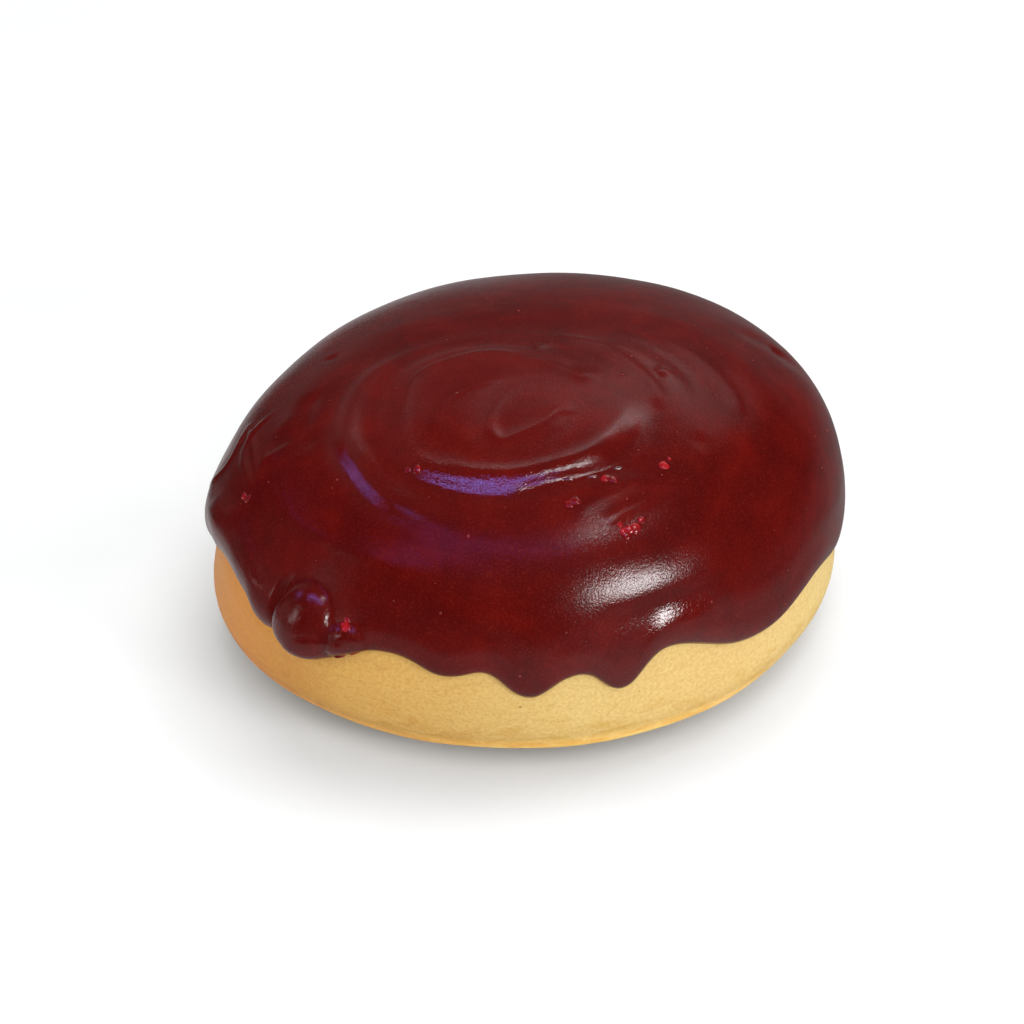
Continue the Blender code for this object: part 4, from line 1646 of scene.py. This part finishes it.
@dataclass
class GlazeBeads:
    """Beads of clear glaze that stand half out of the icing."""

    form: IcingForm
    beads: tuple[Bead, ...] = GLAZE_BEADS
    slices: int = 24
    rings: int = 12

    def build(self, finish: Bits) -> bpy.types.Object:
        """Build the beads as one object.

        Args:
            finish: their finish.

        Returns:
            The beads' object.
        """
        around = np.arange(self.slices) * 2 * np.pi / self.slices
        down = np.arange(1, self.rings) * np.pi / self.rings
        ring = np.stack([np.cos(around), np.sin(around), np.ones_like(around)], axis=1)
        body = [ring * (math.sin(angle), math.sin(angle), math.cos(angle)) for angle in down]
        ball = 0.5 * np.vstack([[(0.0, 0.0, 1.0)], *body, [(0.0, 0.0, -1.0)]])
        skin = ring_faces([1, *[self.slices] * (self.rings - 1), 1])
        places = np.array([(bead.x, bead.y) for bead in self.beads])
        azimuth, walked = self.form.bun.under(places[:, 0], places[:, 1])
        middles = self.form.bun.points(azimuth, walked, self.form.offset(azimuth, walked))
        normals = self.form.bun.outward(azimuth, walked)
        points, faces = [], []
        for bead, middle, up in zip(self.beads, middles, normals):
            heading = math.radians(bead.heading)
            ahead = np.array([math.cos(heading), math.sin(heading), 0.0])
            ahead -= up * (ahead @ up)
            ahead /= np.linalg.norm(ahead)
            size = (bead.length, bead.width, bead.height)
            faces += [tuple(len(points) * len(ball) + i for i in face) for face in skin]
            points.append(middle + (ball * size) @ np.array([ahead, np.cross(up, ahead), up]))
        obj = skin_object("glaze_beads", self.form.bun.seated(np.vstack(points)), faces)
        obj.data.materials.append(finish.make())
        return obj


@dataclass(frozen=True)
class Softbox:
    """A soft lamp aimed at the doughnut: where it stands and how bright its face is."""

    name: str
    azimuth: float
    elevation: float
    distance: float
    width: float
    height: float
    radiance: float
    colour: str = "#ffffff"
    in_gloss: bool = True
    on_matt: bool = True
    along: float | None = None   # azimuth of its width, level and across the aim unless given

    def build(self, aim: Vector) -> bpy.types.Object:
        """Set up the lamp.

        Args:
            aim: the point that it looks at.

        Returns:
            The lamp.
        """
        data = bpy.data.lights.new(self.name, "AREA")
        data.shape = "RECTANGLE"
        data.size, data.size_y = self.width, self.height
        data.energy = self.radiance * math.pi * self.width * self.height
        data.color = linear(self.colour)[:3]
        lamp = place_object(self.name, data)
        turn, rise = math.radians(self.azimuth), math.radians(self.elevation)
        away = Vector((math.cos(turn) * math.cos(rise), math.sin(turn) * math.cos(rise), math.sin(rise)))
        lamp.location = aim + away * self.distance
        along = turn + math.pi / 2 if self.along is None else math.radians(self.along)
        side = Vector((math.cos(along), math.sin(along), 0.0))
        side = (side - away * side.dot(away)).normalized()
        lamp.rotation_euler = Matrix((side, away.cross(side), away)).transposed().to_euler()
        lamp.visible_glossy = self.in_gloss
        lamp.visible_diffuse = self.on_matt
        lamp.visible_camera = False
        return lamp


@dataclass
class Studio:
    """The white board, the soft lamps, the room's light and the camera."""

    middle: Vector
    floor_radius: float = 3.0
    floor_drop: float = 0.0001   # the board lies this far under the foot
    camera_distance: float = 0.384
    camera_elevation: float = 32.0
    focal_pixels: float = 2573.0
    sensor: float = 36.0
    aim_right: float = -13.0     # pixels from the doughnut's middle to the photograph's
    aim_up: float = 4.0
    even_light: float = 0.47     # how bright the room looks to matt things
    lamps: tuple[Softbox, ...] = (
        Softbox("front_softbox", -49.0, 20.3, 0.9, 0.25, 0.15, 32.0, on_matt=False),
        Softbox("front_key", -42.0, 17.0, 0.9, 0.25, 0.12, 26.0, in_gloss=False),
        Softbox("front_wash", -84.0, 48.0, 1.2, 0.8, 0.5, 3.3, in_gloss=False),
        Softbox("overhead_wash", 40.0, 78.0, 1.2, 1.0, 1.0, 2.2, in_gloss=False),
        Softbox("left_fill", 188.0, 14.0, 1.2, 0.8, 0.6, 1.5, in_gloss=False),
        Softbox("right_fill", 4.0, 26.0, 1.2, 0.8, 0.6, 1.0, in_gloss=False),
        Softbox("crest_card", 97.0, 45.0, 0.8, 0.40, 0.03, 3.2, on_matt=False),
        Softbox("saddle_card", 66.0, 43.0, 0.8, 0.44, 0.18, 2.4, on_matt=False),
        Softbox("violet_strip", -116.0, 65.5, 0.8, 0.70, 0.06, 13.5, VIOLET, on_matt=False, along=-20.0),
        Softbox("violet_card", 168.0, 35.0, 0.8, 0.30, 0.04, 6.0, VIOLET, on_matt=False, along=100.0),
        Softbox("left_sparkle", -160.0, 18.0, 0.8, 0.05, 0.16, 9.0, on_matt=False),
        Softbox("right_sparkle", -41.0, 64.0, 0.8, 0.14, 0.05, 34.0, on_matt=False, along=37.0),
    )

    # how bright the room is in gloss, by the height of the way looked, up from level, then from the left
    # to the right: place and brightness
    by_height: tuple[tuple[float, float], ...] = (
        (0.0, 0.34), (0.12, 0.30), (0.24, 0.26), (0.41, 0.12), (0.50, 0.16), (0.66, 0.19), (0.76, 0.12),
        (0.84, 0.04), (1.0, 0.03),
    )
    by_side: tuple[tuple[float, float], ...] = (
        (0.0, 0.8), (0.03, 0.8), (0.08, 0.05), (0.12, 0.05), (0.22, 0.9), (0.40, 1.0), (0.72, 1.0),
        (0.80, 0.35), (0.92, 0.12), (1.0, 0.03),
    )
    front_share: float = 0.25    # and the front half's share of that
    backdrop: float = 1.05       # how bright it is to the camera

    def lay_floor(self, finish: PaintedBoard) -> bpy.types.Object:
        """Lay the board.

        Args:
            finish: the board's finish.

        Returns:
            The board.
        """
        bm = bmesh.new()
        bmesh.ops.create_circle(bm, cap_ends=True, cap_tris=True, segments=96, radius=self.floor_radius)
        mesh = bpy.data.meshes.new("floor_board")
        bm.to_mesh(mesh)
        bm.free()
        for vertex in mesh.vertices:
            vertex.co.z = -self.floor_drop
        mesh.materials.append(finish.make())
        floor = place_object("floor_board", mesh)
        return floor

    def light_room(self) -> None:
        """Light the room: even and white on matt things, dark with pale strips in gloss."""
        world = bpy.data.worlds.new("studio_room")
        bpy.context.scene.world = world
        world.use_nodes = True
        tree = world.node_tree
        tree.nodes.clear()
        way = add(tree, "ShaderNodeTexCoord").outputs["Generated"]
        parts = add(tree, "ShaderNodeSeparateXYZ", {"Vector": way})
        band = set_ramp(add(tree, "ShaderNodeValToRGB", {"Fac": parts.outputs["Z"]}), list(self.by_height))
        across = add(tree, "ShaderNodeMapRange", {"Value": parts.outputs["X"], "From Min": -1.0})
        sides = set_ramp(add(tree, "ShaderNodeValToRGB", {"Fac": across}), list(self.by_side))
        back = add(tree, "ShaderNodeMapRange", {
            "Value": parts.outputs["Y"], "From Min": -0.2, "From Max": 0.2, "To Min": self.front_share,
        })
        bright = add(tree, "ShaderNodeMath", {0: back, 1: sides}, operation="MULTIPLY")
        room = add(tree, "ShaderNodeBackground", {"Color": band, "Strength": bright})
        white, even = (
            add(tree, "ShaderNodeBackground", {"Color": (1.0, 1.0, 1.0, 1.0), "Strength": strength})
            for strength in (self.backdrop, self.even_light)
        )
        path = add(tree, "ShaderNodeLightPath")
        matt = add(tree, "ShaderNodeMixShader", {0: path.outputs["Is Diffuse Ray"], 1: room, 2: even})
        both = add(tree, "ShaderNodeMixShader", {0: path.outputs["Is Camera Ray"], 1: matt, 2: white})
        add(tree, "ShaderNodeOutputWorld", {"Surface": both})

    def set_camera(self) -> bpy.types.Object:
        """Set the camera at the photograph's angle, distance and framing.

        Returns:
            The camera.
        """
        data = bpy.data.cameras.new("photo_camera")
        data.sensor_width = self.sensor
        data.lens = self.focal_pixels * self.sensor / PHOTO_WIDTH
        data.clip_start = 0.01
        camera = place_object("photo_camera", data)
        tilt = math.radians(self.camera_elevation)
        ahead = Vector((0.0, math.cos(tilt), -math.sin(tilt)))
        right = Vector((1.0, 0.0, 0.0))
        up = right.cross(ahead)
        pixel = self.camera_distance / self.focal_pixels
        aim = self.middle + right * self.aim_right * pixel + up * self.aim_up * pixel
        camera.location = self.middle - ahead * self.camera_distance
        camera.rotation_euler = (aim - camera.location).to_track_quat("-Z", "Y").to_euler()
        bpy.context.scene.camera = camera
        return camera

    def build(self, finish: PaintedBoard) -> None:
        """Set up the whole studio.

        Args:
            finish: the board's finish.
        """
        self.set_camera()
        self.lay_floor(finish)
        self.light_room()
        for lamp in self.lamps:
            lamp.build(self.middle)
        bpy.context.scene.view_settings.view_transform = "Standard"


def dress(piece: bpy.types.Object, slot: Slot, replaced: str | None = None) -> None:
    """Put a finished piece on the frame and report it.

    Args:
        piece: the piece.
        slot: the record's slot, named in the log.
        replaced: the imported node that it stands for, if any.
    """
    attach(piece, BODY)
    if replaced:
        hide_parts(replaced)
    triangles = sum(len(face.vertices) - 2 for face in piece.data.polygons)
    log.info("%s: %d triangles, slot %s", piece.name, triangles, slot.value)


def main() -> None:
    """Build the doughnut and its studio."""
    logging.basicConfig(level=logging.INFO, format="%(name)s: %(message)s")
    bun_form = BunForm()
    icing_form = IcingForm(bun_form)
    middle = Vector(bun_form.seated(np.zeros(3)))
    Studio(middle).build(PaintedBoard())
    bun = FriedBun(bun_form).build(FriedDough())
    dress(bun, Slot.DOUGH, "dough")
    cap = IcingCap(icing_form).build(PouredChocolateIcing())
    dress(cap, Slot.ICING, "icing")
    dress(GlazeBeads(icing_form).build(SUGAR_GLAZE), Slot.ICING)
    tree = scatter_tree()
    for strewn, skin, finish, slot in (
        (Strewn(bun_form, "cherry_flecks", 40.0, 1.25, 0.5, 0.34, -0.10, 4, RED_SPOTS), cap,
         CANDIED_CHERRY, Slot.ICING),
        (Strewn(bun_form, "red_bits", 4.5e3, 0.30, 0.5, 0.4, -0.02, 21), cap, CHERRY_CRUMB, Slot.ICING),
        (Strewn(bun_form, "sugar_grains", 6.0e3, 0.13, 0.4, 0.8, 0.0, 33), cap, GRAINED_SUGAR, Slot.ICING),
        (Strewn(bun_form, "crust_specks", 2.5e3, 0.26, 0.5, 0.3, 0.0, 40, DARK_SPOTS), bun,
         BURNT_CRUMB, Slot.DOUGH),
    ):
        dress(strewn.build(skin, tree, finish), slot)


if __name__ == "__main__":
    main()
